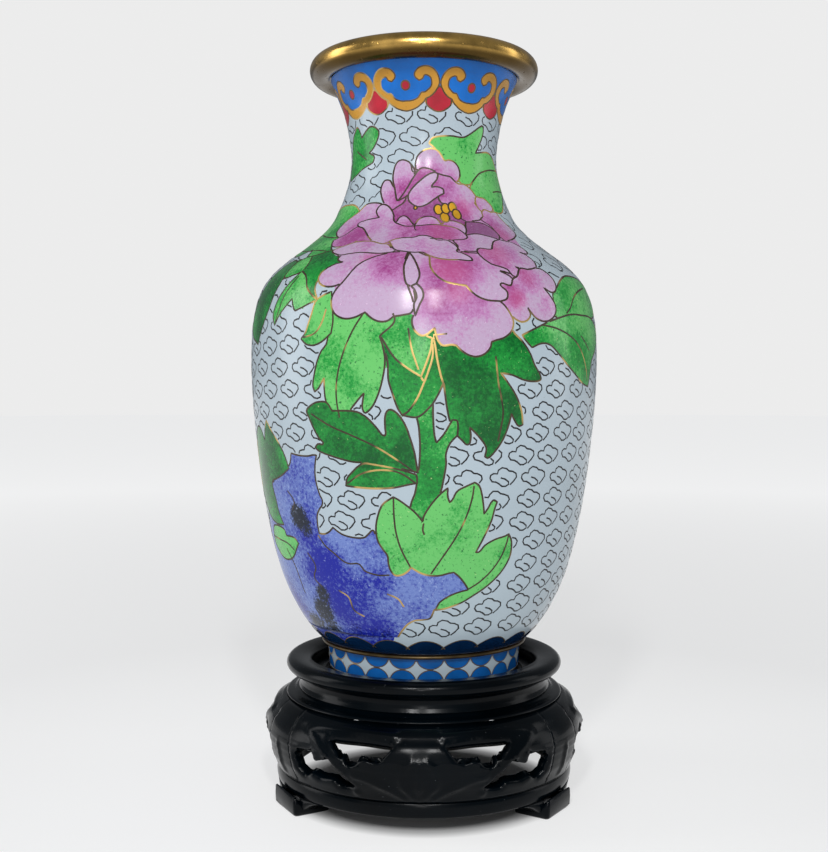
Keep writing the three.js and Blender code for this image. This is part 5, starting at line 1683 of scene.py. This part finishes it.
def foot_block(reach, near, top):
    """A foot with a scooped top and a raised outer edge, as rings of points from the floor up.

    A ring is a rounded rectangle in (across, out); the height of its top ring at a share v of the
    way out is top - 1.6 + 4.2 v^4, so the foot ends in a lip.
    """
    corner = 1.5
    base = rounded([(-8, near), (8, near), (8.6, reach), (-8.6, reach)], corner, 5)
    middle = base.mean(0)
    rings = []
    for inset, lift in ((0.9, 0.0), (0.15, 0.12), (0.0, 0.5), (0.1, 0.86), (0.5, 0.97), (1.2, 1.0)):
        shape = middle + (base - middle) * (1 - inset / 8)
        v = np.clip((shape[:, 1] - near) / (reach - near), 0, 1)
        rings.append(np.column_stack([shape, (top - 1.6 + 4.2 * v ** 4) * lift]))
    for share in (0.8, 0.6, 0.4, 0.2):
        shape = middle + (base - middle) * (1 - 1.2 / 8) * share
        v = np.clip((shape[:, 1] - near) / (reach - near), 0, 1)
        rings.append(np.column_stack([shape, top - 1.6 + 4.2 * v ** 4 - 0.5 * (1 - share) * v]))
    return np.array(rings)


def bracket(side, ring_out, ring_in, top):
    """A bracket under the ring: its lower edge curves from the foot up to the ring's underside.

    At a share t of the way along, its underside is at top (1 - (1 - t)^2) of the height.
    """
    t = np.linspace(0, 1, 14)
    across = side * (7.0 + 11.0 * t)
    under = 0.6 + (top - 0.75) * (1 - (1 - t) ** 2.2)
    rows = []
    for out, height in ((ring_in, under), (ring_out - 0.7, under), (ring_out, under + 0.25),
                        (ring_out, np.full(14, top)), (ring_in, np.full(14, top))):
        depth = np.sqrt(np.maximum(out ** 2 - across ** 2, 0))
        rows.append(np.stack([across, depth, np.minimum(height, top)], -1))
    return np.array(rows)


def turned_about(points, azimuth):
    """Points (across, out, up) in mm turned to an azimuth, in metres."""
    a = azimuth * DEG
    across, out, up = points[:, 0], points[:, 1], points[:, 2]
    return np.stack([across * math.cos(a) + out * math.sin(a),
                     across * math.sin(a) - out * math.cos(a), up], -1) * MM


def build_feet():
    """Three feet with lips, each with two brackets that spread under the base ring."""
    for number in range(3):
        node = f"foot_pad_{number + 1}"
        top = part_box(node)[1].z / MM
        reach = outer_reach(node) - 1.1
        ring_out = outer_reach("stand_base_ring") - 0.4
        ring_in = inner_reach("stand_base_ring") + 0.4
        azimuth = STAND_TURN + 60 + 120 * number
        rings = foot_block(reach - 0.6, reach - 13.2, 4.5)
        count = rings.shape[1]
        points = [rings.reshape(-1, 3)]
        faces = [tuple(f) for f in grid_faces(len(rings), count, False, True)]
        faces += [tuple(range(count))[::-1], tuple(range((len(rings) - 1) * count, len(rings) * count))]
        start = len(rings) * count
        for side in (-1, 1):
            rows = bracket(side, ring_out, ring_in, top)
            points.append(rows.reshape(-1, 3))
            wide = rows.shape[1]
            faces += [tuple(f + start) for f in grid_faces(len(rows), wide, True)]
            end = start + wide * np.arange(len(rows))
            faces += [tuple(end), tuple(end + wide - 1)[::-1]]
            start += len(rows) * wide
        piece = make_piece(f"scroll_foot_{number + 1}", turned_about(np.vstack(points), azimuth), faces,
                           "lacquer", "stand")
        weld(piece)
        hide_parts(node)


# ------------------------------------------------------------------ the stage

def floor_finish():
    """A matt floor that glows a little more the further it is from the lamps, and not at all under the
    stand, where the missing glow is a painted shadow.
    """
    f = Finish("pale floor")
    far = Value(f, f.node("ShaderNodeVectorMath", dict(operation="LENGTH"), {0: f.place}).outputs["Value"])
    # Painted shadow: the glow drops to black inside the stand's footprint, so the floor under the stand
    # stays dark.
    glow = f.ramp(far.math("MULTIPLY", 0.8).clamped(), [
        (0.034, (0.0, 0.0, 0.0)), (0.038, (0.56, 0.56, 0.56)), (0.2, (0.5, 0.5, 0.5)),
        (1.0, (0.72, 0.72, 0.72))])
    return f.set(Base_Color=(0.45, 0.45, 0.45), Roughness=0.9, Specular_IOR_Level=0.1,
                 Emission_Color=glow, Emission_Strength=1.0)


def build_floor():
    """A pale floor: rings of points whose radius grows with the square of their number."""
    rings, steps = 12, 48
    r, a = np.meshgrid(6.0 * (np.arange(1, rings + 1) / rings) ** 2,
                       np.arange(steps) * 2 * np.pi / steps, indexing="ij")
    points = np.stack([r * np.sin(a), -r * np.cos(a), 0 * r], -1).reshape(-1, 3).tolist()
    faces = [tuple(map(int, f)) for f in grid_faces(rings, steps, False, True)[:, ::-1]]
    faces.append(tuple(range(steps)))
    mesh = bpy.data.meshes.new("studio_floor")
    mesh.from_pydata(points, [], faces)
    mesh.materials.append(floor_finish())
    floor = bpy.data.objects.new("studio_floor", mesh)
    bpy.context.scene.collection.objects.link(floor)


def lamp(name, place, aim, size, power):
    light = bpy.data.lights.new(name, "AREA")
    light.shape = "RECTANGLE"
    light.size, light.size_y = size
    light.energy = power
    obj = bpy.data.objects.new(name, light)
    obj.location = place
    obj.rotation_euler = (Vector(aim) - Vector(place)).to_track_quat("-Z", "Y").to_euler()
    bpy.context.scene.collection.objects.link(obj)


def build_lights():
    middle = (0, 0, 0.13)
    lamp("upper_left", (-0.2, -1.0, 0.76), (-0.01, 0.0, 0.16), (0.08, 0.26), 4.4)
    lamp("upper_right", (0.12, -1.0, 0.76), (0, 0.0, 0.16), (0.07, 0.26), 4.0)
    lamp("neck_strip", (-0.05, -1.4, 0.36), (0, 0, 0.2), (0.1, 0.34), 1.8)
    lamp("left_panel", (-1.25, 0.05, 0.45), middle, (0.5, 1.0), 4.6)
    lamp("right_panel", (1.3, 0.15, 0.45), middle, (0.4, 1.0), 2.0)
    lamp("front_fill", (-0.45, -1.7, 0.7), middle, (2.6, 2.0), 7.0)
    world = bpy.data.worlds.new("studio")
    world.use_nodes = True
    tree = world.node_tree
    back = tree.nodes["Background"]
    back.inputs["Color"].default_value = (0.88, 0.92, 0.97, 1)
    back.inputs["Strength"].default_value = 0.24
    seen = tree.nodes.new("ShaderNodeBackground")
    seen.inputs["Color"].default_value = (0.84, 0.84, 0.84, 1)
    path = tree.nodes.new("ShaderNodeLightPath")
    mix = tree.nodes.new("ShaderNodeMixShader")
    tree.links.new(path.outputs["Is Camera Ray"], mix.inputs[0])
    tree.links.new(back.outputs[0], mix.inputs[1])
    tree.links.new(seen.outputs[0], mix.inputs[2])
    tree.links.new(mix.outputs[0], tree.nodes["World Output"].inputs["Surface"])
    bpy.context.scene.world = world
    bpy.context.scene.view_settings.view_transform = "Standard"


def build_camera():
    camera = bpy.data.cameras.new("camera")
    camera.lens = 51.13
    camera.sensor_width = 36
    obj = bpy.data.objects.new("camera", camera)
    obj.location = (-0.0033, -0.4066, 0.1344)
    obj.rotation_euler = (math.radians(90 - 1.75), 0, 0)
    bpy.context.scene.collection.objects.link(obj)
    bpy.context.scene.camera = obj


# ------------------------------------------------------------------ add-on

class Step:
    """Runs the builders of an operator in turn."""

    def execute(self, context):
        for build in self.builders:
            build()
        return {"FINISHED"}


class VASE_OT_picture(Step, bpy.types.Operator):
    """Lay the enamels, the wires and the clouds of the body"""
    bl_idname = "vase.picture"
    bl_label = "Picture"
    builders = (build_picture,)


class VASE_OT_bands(Step, bpy.types.Operator):
    """Lay the collar, the scallops and the foot band"""
    bl_idname = "vase.bands"
    bl_label = "Bands"
    builders = (build_collar, build_scallops, build_foot_band)


class VASE_OT_metal(Step, bpy.types.Operator):
    """Turn the gilded rim and foot, the lining and the copper"""
    bl_idname = "vase.metal"
    bl_label = "Metal and lining"
    builders = (build_rim, build_foot_metal, build_linings, build_cores)


class VASE_OT_stand(Step, bpy.types.Operator):
    """Carve the panels and legs and turn the rings of the stand"""
    bl_idname = "vase.stand"
    bl_label = "Stand"
    builders = (build_rings, build_panels, build_legs, build_feet)


class VASE_OT_stage(Step, bpy.types.Operator):
    """Set up the floor, the lights and the camera"""
    bl_idname = "vase.stage"
    bl_label = "Stage"
    builders = (build_floor, build_lights, build_camera)


class VASE_PT_panel(bpy.types.Panel):
    bl_label = "Cloisonne vase"
    bl_idname = "VASE_PT_panel"
    bl_space_type = "VIEW_3D"
    bl_region_type = "UI"
    bl_category = "Vase"

    def draw(self, context):
        for operator in OPERATORS:
            self.layout.operator(operator.bl_idname)
        for group in (context.scene.vase_sizes, context.scene.stand_sizes, context.scene.vase_colours):
            box = self.layout.box()
            for key in group.__annotations__:
                box.prop(group, key)


OPERATORS = (VASE_OT_picture, VASE_OT_bands, VASE_OT_metal, VASE_OT_stand, VASE_OT_stage)
CLASSES = (VaseSizes, StandSizes, VaseColours) + OPERATORS + (VASE_PT_panel,)


def register():
    for item in CLASSES:
        bpy.utils.register_class(item)
    bpy.types.Scene.vase_sizes = PointerProperty(type=VaseSizes)
    bpy.types.Scene.stand_sizes = PointerProperty(type=StandSizes)
    bpy.types.Scene.vase_colours = PointerProperty(type=VaseColours)


def unregister():
    del bpy.types.Scene.vase_sizes
    del bpy.types.Scene.stand_sizes
    del bpy.types.Scene.vase_colours
    for item in reversed(CLASSES):
        bpy.utils.unregister_class(item)


def main():
    register()
    bpy.ops.vase.picture()
    bpy.ops.vase.bands()
    bpy.ops.vase.metal()
    bpy.ops.vase.stand()
    bpy.ops.vase.stage()


if __name__ == "__main__":
    main()
